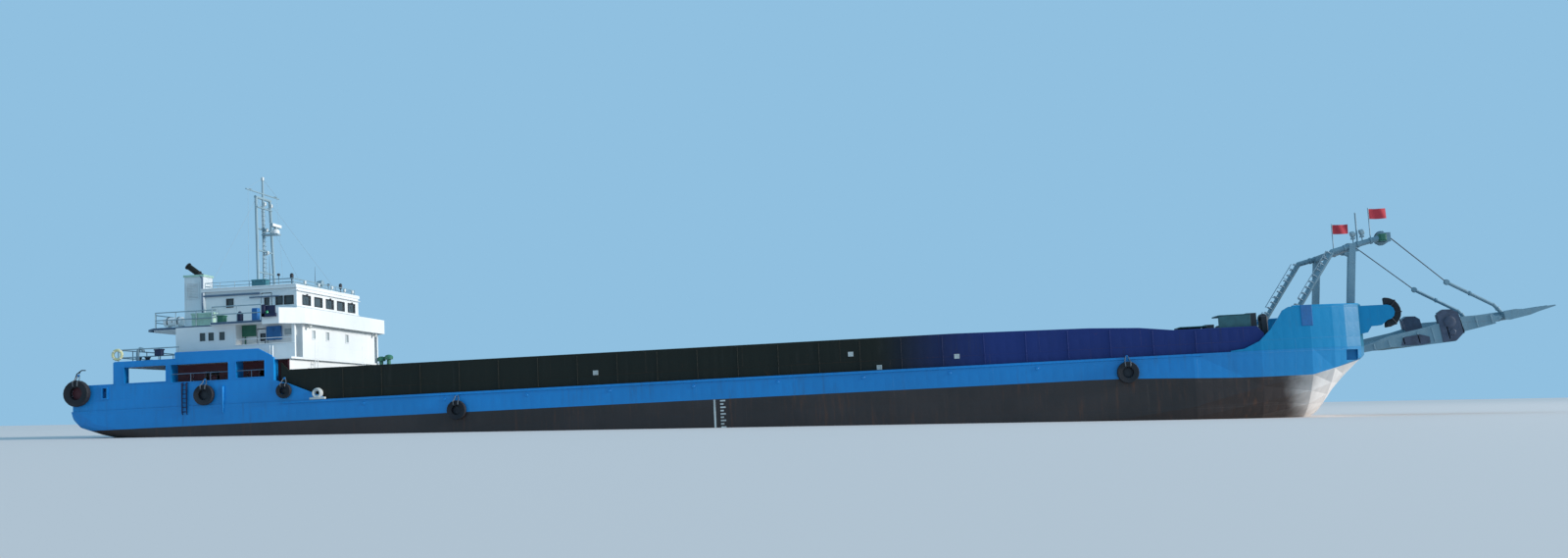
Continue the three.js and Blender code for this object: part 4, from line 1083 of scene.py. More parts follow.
def porch(side, s):
    """What stands in a side box."""
    box = Form()
    box.block((10.52, s * 6.1, 9.16), (11.38, s * 6.2, 9.86), 0.03)
    box.block((10.6, s * 6.2, 9.22), (11.3, s * 6.22, 9.8), 0.008)
    box.bar([(10.7, s * 6.16, 9.16), (10.7, s * 6.16, 7.62)], 0.04, 8)
    box.make("porch_box_" + side, "green")

    locker = Form()
    locker.block((12.25, s * 6.1, 8.9), (13.05, s * 6.3, 9.62), 0.03)
    for x in (12.64, 12.66):
        locker.post(x, s * 6.3, 0.005, 0.01, 8.95, 9.57, 0.002)
    locker.make("porch_locker_" + side, "sea_blue")

    curtain = Form()
    curtain.rim((13.68, s * 6.12, 9.3), (-s, 0, 0), Z_AXIS, 0.74, 0.4, 0.05, 0.05)
    curtain.slot = 1
    for i in range(10):
        x = 13.33 + 0.074 * i
        curtain.block((x, s * 6.12 - 0.02, 9.11), (x + 0.07, s * 6.12 + 0.012, 9.49), 0.015)
    curtain.make("porch_window_" + side, "white", "pale_glass")

    cap = Form()
    cap.block((10.4, s * 6.99 - 0.1, 8.5), (14.42, s * 6.99 + 0.1, 8.56), 0.02)
    cap.bar([(14.3, s * 6.99, 8.54), (14.3, s * 6.99, 9.8)], 0.04, 8)
    cap.bar([(10.42, s * 7.0, 8.9), (12.3, s * 7.0, 8.9), (14.25, s * 7.0, 8.9)], 0.025, 6)
    cap.make("porch_cap_" + side, "white")


def poop_deck_gear(side, s):
    """Bitts, vent, lifebuoy and rail box of the poop."""
    gear = Form()
    for x in (3.75, 4.35):
        gear.turned([(0.0, 0.2), (0.04, 0.2), (0.05, 0.15), (0.42, 0.13), (0.46, 0.19), (0.52, 0.19),
            (0.54, 0.15)], (x, s * 6.6, 7.6), Z_AXIS, 16)
    gear.block((3.4, s * 6.6 - 0.26, 7.6), (4.7, s * 6.6 + 0.26, 7.68))
    gear.make("poop_bitts_" + side, "machine")

    vent = Form()
    vent.bar([(4.02, s * 7.2, 7.6), (4.02, s * 7.2, 8.35), (4.06, s * 7.2, 8.55), (4.2, s * 7.2, 8.66),
        (4.36, s * 7.2, 8.6), (4.4, s * 7.2, 8.45)], 0.1, 10)
    vent.turned([(0, 0.16), (0.05, 0.16), (0.07, 0.1)], (4.02, s * 7.2, 7.6), Z_AXIS, 14)
    vent.make("poop_vent_" + side, "mast")

    buoy = Form()
    buoy.ring((2.95, s * 7.72, 8.3), Y_AXIS, 0.3, 0.09, 28, 10)
    buoy.slot = 1
    for k in range(4):
        a = math.pi * (k + 0.5) / 2
        centre = Vector((2.95 + 0.3 * math.cos(a), s * 7.72, 8.3 + 0.3 * math.sin(a)))
        out = Vector((math.cos(a), 0, math.sin(a)))
        hoop = [centre + (out * math.cos(b) + Y_AXIS * math.sin(b)) * 0.1
            for b in [math.pi * i / 4 for i in range(8)]]
        buoy.bar(hoop, 0.02, 5, True)
    buoy.make("poop_lifebuoy_" + side, "buoy", "white")

    box = Form()
    box.block((5.45, s * 7.6 - 0.2, 8.1), (5.95, s * 7.6 + 0.12, 8.5), 0.04)
    box.block((5.42, s * 7.6 - 0.23, 8.44), (5.98, s * 7.6 + 0.15, 8.53), 0.02)
    box.make("rail_box_" + side, "navy")


def lower_house(side, s):
    """Doors and portholes of the lower house, and the ladder in front of it."""
    doors = Form()
    for x in (7.3, 10.9):
        doors.block((x, s * 6.3 - 0.02, 5.1), (x + 0.75, s * 6.3 + 0.04, 6.95), 0.03)
        doors.rim((x + 0.375, s * 6.33, 6.02), (-s, 0, 0), Z_AXIS, 0.77, 1.87, 0.06, 0.08)
        doors.bar([(x + 0.65, s * 6.33, 5.9), (x + 0.65, s * 6.42, 5.95), (x + 0.65, s * 6.42, 6.15)], 0.02,
            6)
    for x in (8.6, 9.6, 12.3):
        doors.rim((x, s * 6.32, 6.5), (-s, 0, 0), Z_AXIS, 0.4, 0.4, 0.06, 0.06)
        doors.turned([(0.0, 0.2), (0.03, 0.2), (0.05, 0.16)], (x, s * 6.3, 6.5), (0, s, 0), 16)
    doors.make("lower_house_doors_" + side, "red")

    steps = Form()
    for y in (-0.2, 0.2):
        steps.bar([(14.5, s * 4.0 + y, 4.8), (14.5, s * 4.0 + y, 8.7), (14.35, s * 4.0 + y, 8.75)], 0.03, 6)
    for i in range(10):
        steps.bar([(14.5, s * 4.0 - 0.2, 5.05 + 0.28 * i), (14.5, s * 4.0 + 0.2, 5.05 + 0.28 * i)], 0.02, 6)
    steps.make("front_ladder_" + side, "white")


def house_front():
    """Vents, doors and lamps before the houses."""
    vents = Form()
    for x, y, tall in ((14.8, 6.6, 8.0), (15.36, 6.6, 8.1)):
        vents.bar([(x, y, 4.8), (x, y, tall - 0.1)], 0.14, 12)
        vents.turned([(0.0, 0.16), (0.02, 0.3), (0.2, 0.32), (0.3, 0.24), (0.36, 0.1)], (x, y, tall - 0.28),
            Z_AXIS, 18)
        vents.turned([(0, 0.22), (0.05, 0.22), (0.07, 0.15)], (x, y, 4.8), Z_AXIS, 16)
    vents.make("deck_vents", "green")

    front = Form()
    for y in (-6.9, -5.6, 3.2, 6.6):
        front.block((14.2, y - 0.38, 5.0), (14.26, y + 0.38, 6.85), 0.03)
        front.bar([(14.25, y + 0.28, 5.85), (14.34, y + 0.28, 5.9), (14.34, y + 0.28, 6.05)], 0.02, 6)
    front.make("front_doors", "white")

    lamps = Form()
    for y in (-5.6, 5.6):
        lamps.bar([(14.5, y, 9.5), (14.75, y, 9.6)], 0.03, 6)
        lamps.turned([(0.0, 0.05), (0.05, 0.11), (0.14, 0.13), (0.16, 0.11)], (14.72, y, 9.62),
            (0.8, 0, -0.6), 14)
    lamps.make("poop_floodlights", "lamp")


class BARGE_OT_poop(bpy.types.Operator):
    """Adds the deck gear of the poop, its house's windows and what stands in the side porches"""

    bl_idname = "barge.poop"
    bl_label = "Poop and its house"

    def execute(self, context):
        poop_windows()
        on_both_sides(poop_door, porch, poop_deck_gear, lower_house)
        house_front()
        return {"FINISHED"}


def wheelhouse_windows():
    """Windows and wipers."""
    rims = Form()
    panes = Form()
    for y in (-3.66, -1.78, 0.1, 1.98, 3.86):
        window(rims, panes, (13.72, y, 11.49), Y_AXIS, 1.2, 0.58)
    for s in (-1, 1):
        for x, half in ((9.2, 0.2), (12.55, 0.2), (13.2, 0.28)):
            window(rims, panes, (x, s * 5.15, 11.45), (-s, 0, 0), half * 2, 0.5)
        window(rims, panes, (7.45, s * 2.6, 11.5), -Y_AXIS, 1.2, 0.6)
    rims.make("wheelhouse_window_rims", "gasket")
    panes.make("wheelhouse_window_panes", "glass")

    wipers = Form()
    for y in (-3.66, 0.1, 3.86):
        wipers.block((13.77, y - 0.08, 11.82), (13.83, y + 0.08, 11.9), 0.015)
        wipers.bar([(13.81, y, 11.86), (13.8, y + 0.3, 11.45)], 0.012, 5)
        wipers.bar([(13.78, y + 0.22, 11.62), (13.78, y + 0.36, 11.28)], 0.014, 5)
    wipers.make("wipers", "dark")


def wheelhouse_trim():
    """Trim of the roof and the front, and dark bands on the sides as painted shadow under the roof's edge
    and over the windows.
    """
    trim = Form()
    trim.block((13.7, -5.2, 12.02), (13.86, 5.2, 12.08), 0.015)
    trim.block((13.7, -5.2, 11.0), (13.78, 5.2, 11.06), 0.015)
    for s in (-1, 1):
        trim.bar([(7.32, s * 5.3, 12.44), (10.5, s * 5.3, 12.44), (13.72, s * 5.3, 12.44)], 0.035, 8)
        trim.bar([(7.5, s * 5.19, 10.05), (7.5, s * 5.19, 12.2)], 0.03, 8)
    trim.bar([(13.74, -5.25, 12.44), (13.74, 0, 12.44), (13.74, 5.25, 12.44)], 0.035, 8)
    trim.make("wheelhouse_trim", "white")

    # Painted shadow: two dark bands on each side where the roof's edge and the window band cast shade.
    shadow_bands = Form()
    for s in (-1, 1):
        shadow_bands.block((7.42, s * 5.2 - 0.05, 11.92), (11.25, s * 5.2 + 0.05, 12.04), 0.02)
        shadow_bands.block((10.55, s * 5.2 - 0.06, 11.7), (12.6, s * 5.2 + 0.06, 11.78), 0.02)
    shadow_bands.make("wheelhouse_shadow_bands", "gutter")


def side_light(side, s):
    """The side light in its screen."""
    screen = Form()
    screen.block((12.85, s * 8.0, 10.26), (13.58, s * 8.04, 10.86), 0.02)
    screen.block((12.83, s * 8.02, 10.26), (12.89, s * 8.2, 10.86), 0.015)
    screen.block((12.85, s * 8.0, 10.24), (13.6, s * 8.2, 10.29), 0.015)
    screen.make("light_screen_" + side, "navy")
    lamp = Form()
    lamp.turned([(0, 0.06), (0.03, 0.08), (0.2, 0.08), (0.23, 0.06), (0.26, 0.03)], (13.1, s * 8.12, 10.29),
        Z_AXIS, 16)
    lamp.make("side_lamp_" + side, "green_lens" if s < 0 else "red_lens")


def bridge_door(side, s):
    """Window and handle of a wheelhouse door."""
    door_trim("bridge_door", "gasket", 11.36, 5.15, 11.0, side, s)


def bridge_deck_gear(side, s):
    """Lockers on the bridge deck, and a dark band along its edge as painted shadow."""
    deck_gear = Form()
    deck_gear.block((9.55, s * 7.4 - 0.25, 10.0), (9.99, s * 7.4 + 0.25, 10.42), 0.04)
    deck_gear.block((9.51, s * 7.4 - 0.28, 10.38), (10.03, s * 7.4 + 0.28, 10.46), 0.03)
    deck_gear.slot = 1
    deck_gear.block((10.84, s * 7.45 - 0.2, 10.0), (11.14, s * 7.45 + 0.2, 10.52), 0.04)
    deck_gear.bar([(10.99, s * 7.45, 10.5), (10.99, s * 7.45, 10.62), (10.99, s * 7.45, 10.66)],
        [0.1, 0.1, 0.04], 10)
    deck_gear.slot = 2
    deck_gear.block((11.85, s * 7.45 - 0.2, 10.0), (12.25, s * 7.45 + 0.2, 10.8), 0.04)
    deck_gear.make("bridge_lockers_" + side, "green", "navy", "sea_blue")

    chest = Form()
    chest.block((6.9, s * 5.55 - 0.27, 10.0), (8.4, s * 5.55 + 0.27, 10.78), 0.05)
    chest.block((6.86, s * 5.55 - 0.3, 10.74), (8.44, s * 5.55 + 0.3, 10.86), 0.03)
    for x in (7.2, 8.1):
        chest.post(x, s * 5.85, 0.05, 0.01, 10.6, 10.78, 0.008)
    chest.make("bridge_chest_" + side, "green_wash")

    # Painted shadow: a dark band along the deck's edge where its underside is in shade.
    shadow_edge = Form()
    edge = [(12.6, 7.86), (9.26, 7.86), (8.7, 6.01), (4.4, 6.01), (3.57, 5.06), (3.57, 0.0)]
    for z in (9.9, 9.97):
        shadow_edge.bar([(x, s * y, z) for x, y in edge], 0.035, 6)
    shadow_edge.make("bridge_deck_shadow_edge_" + side, "gutter")


def roof_side_gear(side, s):
    """Aerials on the roof, and the straps of the life raft."""
    whip = Form()
    whip.bar([(12.9, s * 4.0, 12.4), (12.9, s * 4.0, 12.92), (12.9, s * 4.0, 13.0)], 0.035, 8)
    whip.turned([(0, 0.07), (0.04, 0.11), (0.3, 0.12), (0.36, 0.09), (0.4, 0.03)], (12.9, s * 4.0, 12.92),
        Z_AXIS, 16)
    whip.bar([(12.0, s * 4.0, 12.4), (12.0, s * 4.0, 13.2)], 0.025, 6)
    whip.turned([(0, 0.05), (0.03, 0.1), (0.14, 0.1), (0.17, 0.05)], (12.0, s * 4.0, 13.18), Z_AXIS, 14)
    whip.bar([(11.2, s * 3.6, 12.4), (11.2, s * 3.6, 14.6)], [0.03, 0.008], 6)
    whip.make("roof_aerials_" + side, "dark")

    strap = Form()
    for x in (5.05, 5.75):
        strap.bar([(x, s * 5.2 + 0.31 * math.cos(a), 10.42 + 0.31 * math.sin(a))
            for a in [math.pi * k / 8 for k in range(16)]], 0.03, 5, True)
    strap.block((5.38, s * 5.2 - 0.34, 10.38), (5.42, s * 5.2 + 0.34, 10.46), 0.01)
    strap.make("raft_straps_" + side, "gasket")


def roof_lights():
    """Floodlights, searchlight and horn."""
    floods = Form()
    for y in (-3.4, -1.2, 1.0, 3.2, 4.6):
        floods.bar([(13.5, y, 12.4), (13.5, y, 12.62)], 0.03, 6)
        floods.turned([(-0.1, 0.05), (-0.06, 0.1), (0.05, 0.12), (0.07, 0.1)], (13.52, y, 12.72),
            (1, 0, -0.2), 14)
    floods.make("roof_floodlights", "lamp")

    search = Form()
    search.bar([(12.7, 0.9, 12.4), (12.7, 0.9, 12.85)], 0.05, 10)
    search.turned([(-0.26, 0.06), (-0.2, 0.17), (0.0, 0.22), (0.2, 0.23), (0.22, 0.2)], (12.72, 0.9, 13.05),
        X_AXIS, 20)
    search.bar([(12.7, 0.65, 13.05), (12.7, 0.66, 12.85), (12.7, 0.9, 12.78), (12.7, 1.14, 12.85),
        (12.7, 1.15, 13.05)], 0.03, 6)
    search.turned([(0.0, 0.05), (0.1, 0.06), (0.4, 0.1), (0.55, 0.19), (0.57, 0.16)], (12.2, -1.2, 12.72),
        X_AXIS, 16)
    search.bar([(12.35, -1.2, 12.4), (12.35, -1.2, 12.7)], 0.035, 8)
    search.make("searchlight_and_horn", "mast")


def roof_rail():
    """The rail of the roof and the lid of its locker."""
    rail = Form()
    path = [(7.5, -5.1), (13.5, -5.1), (13.5, 5.1), (7.5, 5.1)]
    for z in (12.62, 12.85):
        rail.bar([(x, y, z) for x, y in path], 0.02, 6, True)
    for i in range(4):
        ax, ay = path[i]
        bx, by = path[(i + 1) % 4]
        for k in range(6):
            x = ax + (bx - ax) * k / 6
            y = ay + (by - ay) * k / 6
            rail.bar([(x, y, 12.42), (x, y, 12.86)], 0.02, 6)
    rail.make("roof_rail", "mast")

    lid = Form()
    lid.block((10.68, -5.24, 12.8), (11.7, -4.56, 12.9), 0.03)
    for x in (10.9, 11.48):
        lid.block((x - 0.05, -5.24, 12.66), (x + 0.05, -5.21, 12.84), 0.01)
    lid.make("roof_locker_lid", "teal")


class BARGE_OT_wheelhouse(bpy.types.Operator):
    """Adds the wheelhouse's windows, wipers, painted shadow bands, screens, and the gear on its roof and
    deck
    """

    bl_idname = "barge.wheelhouse"
    bl_label = "Wheelhouse"

    def execute(self, context):
        wheelhouse_windows()
        wheelhouse_trim()
        on_both_sides(side_light, bridge_door, bridge_deck_gear, roof_side_gear)
        roof_lights()
        roof_rail()
        return {"FINISHED"}


def funnel_louvres(side, s):
    """The louvres in a side of the funnel."""
    louvres = Form()
    louvres.rim((4.3, s * 0.66, 12.9), (-s, 0, 0), Z_AXIS, 0.8, 1.0, 0.06, 0.06)
    for i in range(9):
        turn = Matrix.Translation((4.3, s * 0.67, 12.46 + 0.11 * i)) @ Matrix.Rotation(-s * 0.6, 4, "X")
        louvres.block((-0.4, -0.05, -0.008), (0.4, 0.05, 0.008), 0.004, turn)
    louvres.make("funnel_louvres_" + side, "white")


def funnel_trim():
    """Bands, pipes, ladder and flanges of the funnel."""
    band = Form()
    band.rim((4.375, 0, 13.93), X_AXIS, Y_AXIS, 1.37, 1.32, 0.05, 0.14)
    band.rim((4.375, 0, 10.08), X_AXIS, Y_AXIS, 1.37, 1.32, 0.09, 0.14)
    band.make("funnel_bands", "green_wash")
    stripe = Form()
    for s in (-1, 1):
        stripe.bar([(5.0, s * 0.7, 10.1), (5.0, s * 0.7, 12.0), (5.0, s * 0.7, 13.7),
            (4.8, s * 0.66, 13.95)], 0.05, 8)
    stripe.make("funnel_pipes", "gutter")
    ladder = Form()
    for y in (-0.2, 0.2):
        ladder.bar([(3.62, y, 10.05), (3.62, y, 13.9), (3.7, y, 14.02)], 0.025, 6)
    for i in range(12):
        ladder.bar([(3.62, -0.2, 10.3 + 0.3 * i), (3.62, 0.2, 10.3 + 0.3 * i)], 0.02, 6)
    ladder.make("funnel_ladder", "mast")
    flange = Form()
    flange.turned([(-0.03, 0.24), (-0.03, 0.3), (0.03, 0.3), (0.03, 0.24), (-0.03, 0.24)], (4.42, 0, 14.07),
        (-0.12, 0, 1), 20)
    flange.turned([(-0.03, 0.215), (-0.03, 0.25), (0.04, 0.25), (0.04, 0.215), (-0.03, 0.215)],
        (3.64, 0, 14.71), (-0.8, 0, 0.62), 20)
    flange.make("exhaust_flanges", "dark")


def mast_lanterns():
    """Lanterns of the mast."""
    lanterns = Form()
    for x, y, z in ((9.45, 0.55, 18.65), (9.45, -0.45, 18.65), (9.5, -0.3, 16.85), (9.4, 0.0, 15.3),
            (9.1, 0.0, 20.5)):
        lanterns.turned([(-0.12, 0.05), (-0.1, 0.1), (0.1, 0.1), (0.12, 0.06), (0.15, 0.03)], (x, y, z),
            Z_AXIS, 16)
        if x > 9.2:
            lanterns.bar([(9.15, y, z - 0.16), (x, y, z - 0.14), (x, y, z - 0.1)], 0.03, 6)
        lanterns.slot = 1
        for k in range(6):
            a = math.pi * k / 3
            lanterns.bar([(x + 0.11 * math.cos(a), y + 0.11 * math.sin(a), z - 0.11),
                (x + 0.11 * math.cos(a), y + 0.11 * math.sin(a), z + 0.11)], 0.008, 5)
        lanterns.slot = 0
    lanterns.make("mast_lanterns", "lamp", "mast")


def mast_rigging():
    """Stays and rungs of the mast."""
    stays = Form()
    for s in (-1, 1):
        for x, y in ((7.6, 4.9), (13.2, 3.0)):
            stays.bar([(9.1, s * 0.95, 19.05), (x, s * y, 12.45)], 0.01, 5)
        stays.bar([(9.1, s * 2.4, 19.45), (9.1, s * 1.2, 20.0), (9.1, s * 0.05, 20.5)], 0.01, 5)
        stays.bar([(9.1, s * 2.2, 19.42), (9.3, s * 2.7, 12.45)], 0.008, 5)
        for x, y in ((7.6, 4.9), (13.2, 3.0), (9.3, 2.7)):
            stays.post(x, s * y, 0.06, 0.06, 12.42, 12.5, 0.01)
    stays.make("mast_stays", "pale_wire")

    rungs = Form()
    for i in range(20):
        z = 12.8 + 0.3 * i
        x = 9.3 - 0.2 * (z - 12.4) / 6.7
        rungs.bar([(x - 0.06, -0.2, z), (x + 0.04, -0.2, z), (x + 0.04, 0.2, z), (x - 0.06, 0.2, z)], 0.012,
            5)
    for y in (-0.2, 0.2):
        rungs.bar([(9.22, y, 12.5), (9.08, y, 18.6)], 0.015, 6)
    for y in (-1.9, 1.9):
        rungs.turned([(-0.02, 0.02), (0.0, 0.14), (0.02, 0.14), (0.03, 0.02)], (9.1, y, 19.5), Z_AXIS, 12)
    rungs.make("mast_rungs", "mast")


def radar():
    """The radar's gearbox and scanner faces."""
    gearbox = Form()
    gearbox.turned([(0.0, 0.24), (0.04, 0.26), (0.24, 0.26), (0.32, 0.2), (0.35, 0.17)], (10.0, 0, 16.55),
        Z_AXIS, 24)
    gearbox.block((9.72, -0.16, 16.58), (9.86, 0.16, 16.82), 0.03)
    gearbox.make("radar_gearbox", "white")
    scanner = Form()
    scanner.block((9.87, -0.68, 17.03), (9.89, 0.68, 17.29), 0.008)
    scanner.block((10.1, -0.68, 17.06), (10.12, 0.68, 17.26), 0.008)
    scanner.make("scanner_faces", "white", body="radar")


class BARGE_OT_funnel_and_mast(bpy.types.Operator):
    """Adds the louvres, bands and ladder of the funnel, and the lamps, stays and radar of the mast"""

    bl_idname = "barge.funnel_and_mast"
    bl_label = "Funnel and mast"

    def execute(self, context):
        on_both_sides(funnel_louvres)
        funnel_trim()
        mast_lanterns()
        mast_rigging()
        radar()
        return {"FINISHED"}


def bow_plating(side, s):
    """Cap and knees of a bow bulwark, and a darker plate on it as painted shadow."""
    cap = Form()
    top = [(76.0, 7.5, 7.3), (77.0, 7.375, 7.3), (78.4, 7.02, 7.3), (79.2, 6.72, 7.3), (80.2, 6.07, 7.3),
        (80.6, 5.12, 7.3), (80.6, 4.25, 7.3)]
    cap.bar([(x, s * y, z) for x, y, z in top], 0.075, 8)
    for x, y in ((76.6, 7.35), (77.8, 7.1), (79.0, 6.72)):
        cap.plate([(0, 0), (0.55, 0), (0.12, 2.3), (0, 2.3)], 0.05, (x, s * y, 4.8), (0, -s, 0), Z_AXIS)
    for y in (5.0, 5.7):
        cap.plate([(0, 0), (0.5, 0), (0.1, 2.3), (0, 2.3)], 0.05, (80.5 - (y - 5.0) * 0.4, s * y, 4.8),
            -X_AXIS, Z_AXIS)
    cap.make("bow_cap_" + side, "bow_blue")

    # Painted shadow: a darker blue plate on the bulwark's aft part, where shade falls.
    shadow_plate = Form()
    angle = math.atan2(0.4, 3.0)
    turn = Matrix.Translation((76.83, s * 7.475, 6.75)) @ Matrix.Rotation(-s * angle, 4, "Z")
    shadow_plate.block((-0.34, -0.02, -0.62), (0.34, 0.025, 0.62), 0.02, turn)
    shadow_plate.make("bow_shadow_plate_" + side, "sea_blue")


def windlass_gear(side, s):
    """Gear and cover of a windlass, and the winch ahead of it."""
    gear = Form()
    x, z = 72.6, 6.4
    gear.turned([(-0.12, 0.1), (-0.06, 0.12), (-0.06, 0.5), (-0.02, 0.52), (0.02, 0.52), (0.06, 0.5),
        (0.06, 0.2)], (x, s * 7.3, z), (0, s, 0), 24)
    gear.bar([(x - 0.5, s * 7.1, 5.7), (x - 0.6, s * 7.1, 6.1), (x - 0.64, s * 7.1, 6.6)], 0.03, 6)
    gear.ring((x - 0.64, s * 7.1, 6.65), X_AXIS, 0.16, 0.025, 16, 6)
    gear.slot = 1
    gear.block((x - 0.85, s * 6.3 - 0.95, 6.96), (x + 1.0, s * 6.3 + 0.95, 7.04), 0.02)
    gear.block((x - 0.85, s * 7.42 - 0.03, 6.0), (x + 0.98, s * 7.42 + 0.03, 7.0), 0.01)
    gear.block((x - 0.85, s * 7.3 - 0.15, 6.96), (x + 0.98, s * 7.3 + 0.15, 7.03), 0.01)
    for dx in (-0.8, 0.9):
        gear.bar([(x + dx, s * 7.18, 5.7), (x + dx, s * 7.18, 6.98)], 0.05, 6)
    gear.slot = 0
    gear.block((x - 1.45, s * 6.3 - 0.35, 5.7), (x - 1.0, s * 6.3 + 0.35, 6.15), 0.04)
    gear.make("windlass_gear_" + side, "machine", "teal_dark")

    stopper = Form()
    stopper.block((74.35, s * 6.3 - 0.4, 4.8), (74.75, s * 6.3 + 0.4, 6.9), 0.05)
    stopper.turned([(-0.3, 0.2), (-0.2, 0.26), (0.2, 0.26), (0.3, 0.2)], (74.55, s * 6.3, 6.78), Y_AXIS, 16)
    for dy in (-0.3, 0.3):
        stopper.bar([(74.9, s * 6.3 + dy, 4.85), (74.6, s * 6.3 + dy, 6.4)], 0.04, 6)
    stopper.make("bow_winch_" + side, "machine")


# How far the gantry's legs stand from the middle line
GANTRY_Y = 3.9


def gantry_legs(side, s):
    """Gussets, clamps and ladder of a gantry leg."""
    y = s * GANTRY_Y
    gussets = Form()
    for px, pz, dx, dz in ((80.05, 4.8, -0.6, 0.9), (80.85, 10.7, 0.5, 0.3)):
        gussets.plate([(0, 0), (dx, 0), (0, dz)], 0.05, (px, y, pz), X_AXIS, Z_AXIS)
    for t in (0.25, 0.5, 0.75):
        a = Vector((79.6, y, 10.75)).lerp(Vector((82.8, y, 11.5)), t)
        gussets.turned([(-0.06, 0.17), (-0.06, 0.21), (0.06, 0.21), (0.06, 0.17), (-0.06, 0.17)], a,
            (3.2, 0, 0.75), 14)
    gussets.make("gantry_gussets_" + side, "ramp")

    ladder = Form()
    out = s * 0.24
    for low, high in ((Vector((75.7, y, 4.95)), Vector((77.5, y, 7.65))),
            (Vector((77.5, y, 7.65)), Vector((79.65, y, 10.8)))):
        lift = (high - low).normalized().cross(Y_AXIS) * 0.17
        for i in range(9):
            p = low.lerp(high, (i + 0.5) / 9)
            ladder.bar([p + Vector((0, -0.15, 0)), p + Vector((0, -0.2, 0)) + lift * 1.6,
                p + Vector((0, 0.2, 0)) + lift * 1.6, p + Vector((0, 0.15, 0))], 0.02, 5)
        rail_ends = [low.lerp(high, t) + lift * 2.2 + Vector((0, out, 0)) for t in (0.04, 0.5, 0.94)]
        ladder.bar(rail_ends, 0.025, 6)
        for i in range(5):
            p = low.lerp(high, (i + 0.3) / 5)
            ladder.bar([p, p + lift * 2.2 + Vector((0, out, 0))], 0.02, 5)
    ladder.make("gantry_ladder_" + side, "pale_wire")


def gantry_head(side, s):
    """Sheave cheeks and head box of a gantry arm, and the lamps of the starboard one."""
    y = s * GANTRY_Y
    block = Form()
    for dy in (-0.13, 0.13):
        block.plate([(-0.36, -0.3), (-0.1, -0.46), (0.1, -0.46), (0.36, -0.3), (0.36, 0.14), (0.12, 0.42),
            (-0.12, 0.42), (-0.36, 0.14)], 0.03, (82.8, s * 3.3 + dy, 11.5), X_AXIS, Z_AXIS)
    block.bar([(82.8, s * 3.14, 11.88), (82.8, s * 3.46, 11.88)], 0.04, 8)
    block.make("sheave_cheeks_" + side, "ramp")
    head = Form()
    head.block((82.46, y - 0.22, 11.2), (82.94, y + 0.22, 11.72), 0.05)
    head.block((82.54, y - 0.26, 11.28), (82.86, y + 0.26, 11.64), 0.03)
    head.make("head_block_" + side, "green" if s < 0 else "ramp")

    if s > 0:
        return
    lamps = Form()
    for hx, hz in ((80.95, 11.15), (81.5, 11.25)):
        lamps.bar([(hx, y, hz - 0.1), (hx, y, hz + 0.5)], 0.035, 6)
        lamps.turned([(-0.16, 0.08), (-0.1, 0.17), (0.1, 0.2), (0.13, 0.17)], (hx, y, hz + 0.62),
            (-0.9, 0, -0.3), 16)
        lamps.post(hx, y, 0.1, 0.2, hz + 0.3, hz + 0.42, 0.02)
    lamps.make("gantry_lamps_" + side, "mast")


def bow_edge_gear(side, s):
    """Lashings of the bow tyre, and the bow's bitts."""
    horn = Form()
    for z0 in (6.35, 7.15):
        horn.bar([(81.5, s * 5.5, z0), (81.98, s * 5.5, z0 + (0.12 if z0 < 7 else -0.1))], 0.06, 8)
    for da in (-0.9, 0.0, 0.9):
        p = Vector((81.95 + 0.9 * math.cos(da), s * 5.5, 6.75 + 0.9 * math.sin(da)))
        q = Vector((81.95 + 0.45 * math.cos(da), s * 5.5, 6.75 + 0.45 * math.sin(da)))
        n = Vector((math.cos(da), 0, math.sin(da)))
        loop = [p + n * 0.02 + Y_AXIS * 0.2, p + Y_AXIS * 0.3, q + Y_AXIS * 0.26, q - n * 0.02,
            q - Y_AXIS * 0.26, p - Y_AXIS * 0.3, p + n * 0.02 - Y_AXIS * 0.2, p + n * 0.035]
        horn.bar(loop, 0.026, 6, True)
    horn.make("horn_lashings_" + side, "dark")

    bitts = Form()
    for bx in (77.6, 78.2):
        bitts.turned([(0.0, 0.2), (0.05, 0.16), (0.6, 0.14), (0.64, 0.2), (0.7, 0.2), (0.72, 0.15)],
            (bx, s * 5.9, 4.8), Z_AXIS, 16)
    bitts.block((77.3, s * 5.9 - 0.28, 4.8), (78.5, s * 5.9 + 0.28, 4.9), 0.03)
    bitts.make("bow_bitts_" + side, "machine")


class BARGE_OT_bow(bpy.types.Operator):
    """Adds the gear of the bow: bulwark caps and knees, windlass gear, gantry details and painted shadow
    plates
    """

    bl_idname = "barge.bow"
    bl_label = "Bow"

    def execute(self, context):
        on_both_sides(bow_plating, windlass_gear, gantry_legs, gantry_head, bow_edge_gear)
        return {"FINISHED"}


def ramp_surface():
    """Treads and ribs of the ramp."""
    treads = Form()
    for i in range(20):
        s = 0.6 + 0.38 * i
        treads.block((s - 0.03, -3.1, 0.235), (s + 0.03, 3.1, 0.28), 0.012, RAMP_TURN)
    treads.make("ramp_treads", "ramp", body="ramp")

    ribs = Form()
    for i in range(9):
        s = 0.9 + 0.9 * i
        for y in (-3.42, 3.42):
            low = -0.14 - 0.4 * math.exp(-((s - 5.0) / 1.8) ** 2)
            high = 0.24 + 0.28 * math.exp(-((s - 6.0) / 2.4) ** 2)
            edge = y - math.copysign(0.02, y)
            ribs.block((s - 0.04, min(y, edge) - 0.02, low), (s + 0.04, max(y, edge) + 0.02, high), 0.01,
                RAMP_TURN)
    for i in range(7):
        s = 0.7 + 1.1 * i
        ribs.bar([on_ramp(s, -3.1, -0.05), on_ramp(s + 0.5, 0.0, -0.05), on_ramp(s, 3.1, -0.05)], 0.05, 6)
    ribs.make("ramp_ribs", "ramp", body="ramp")


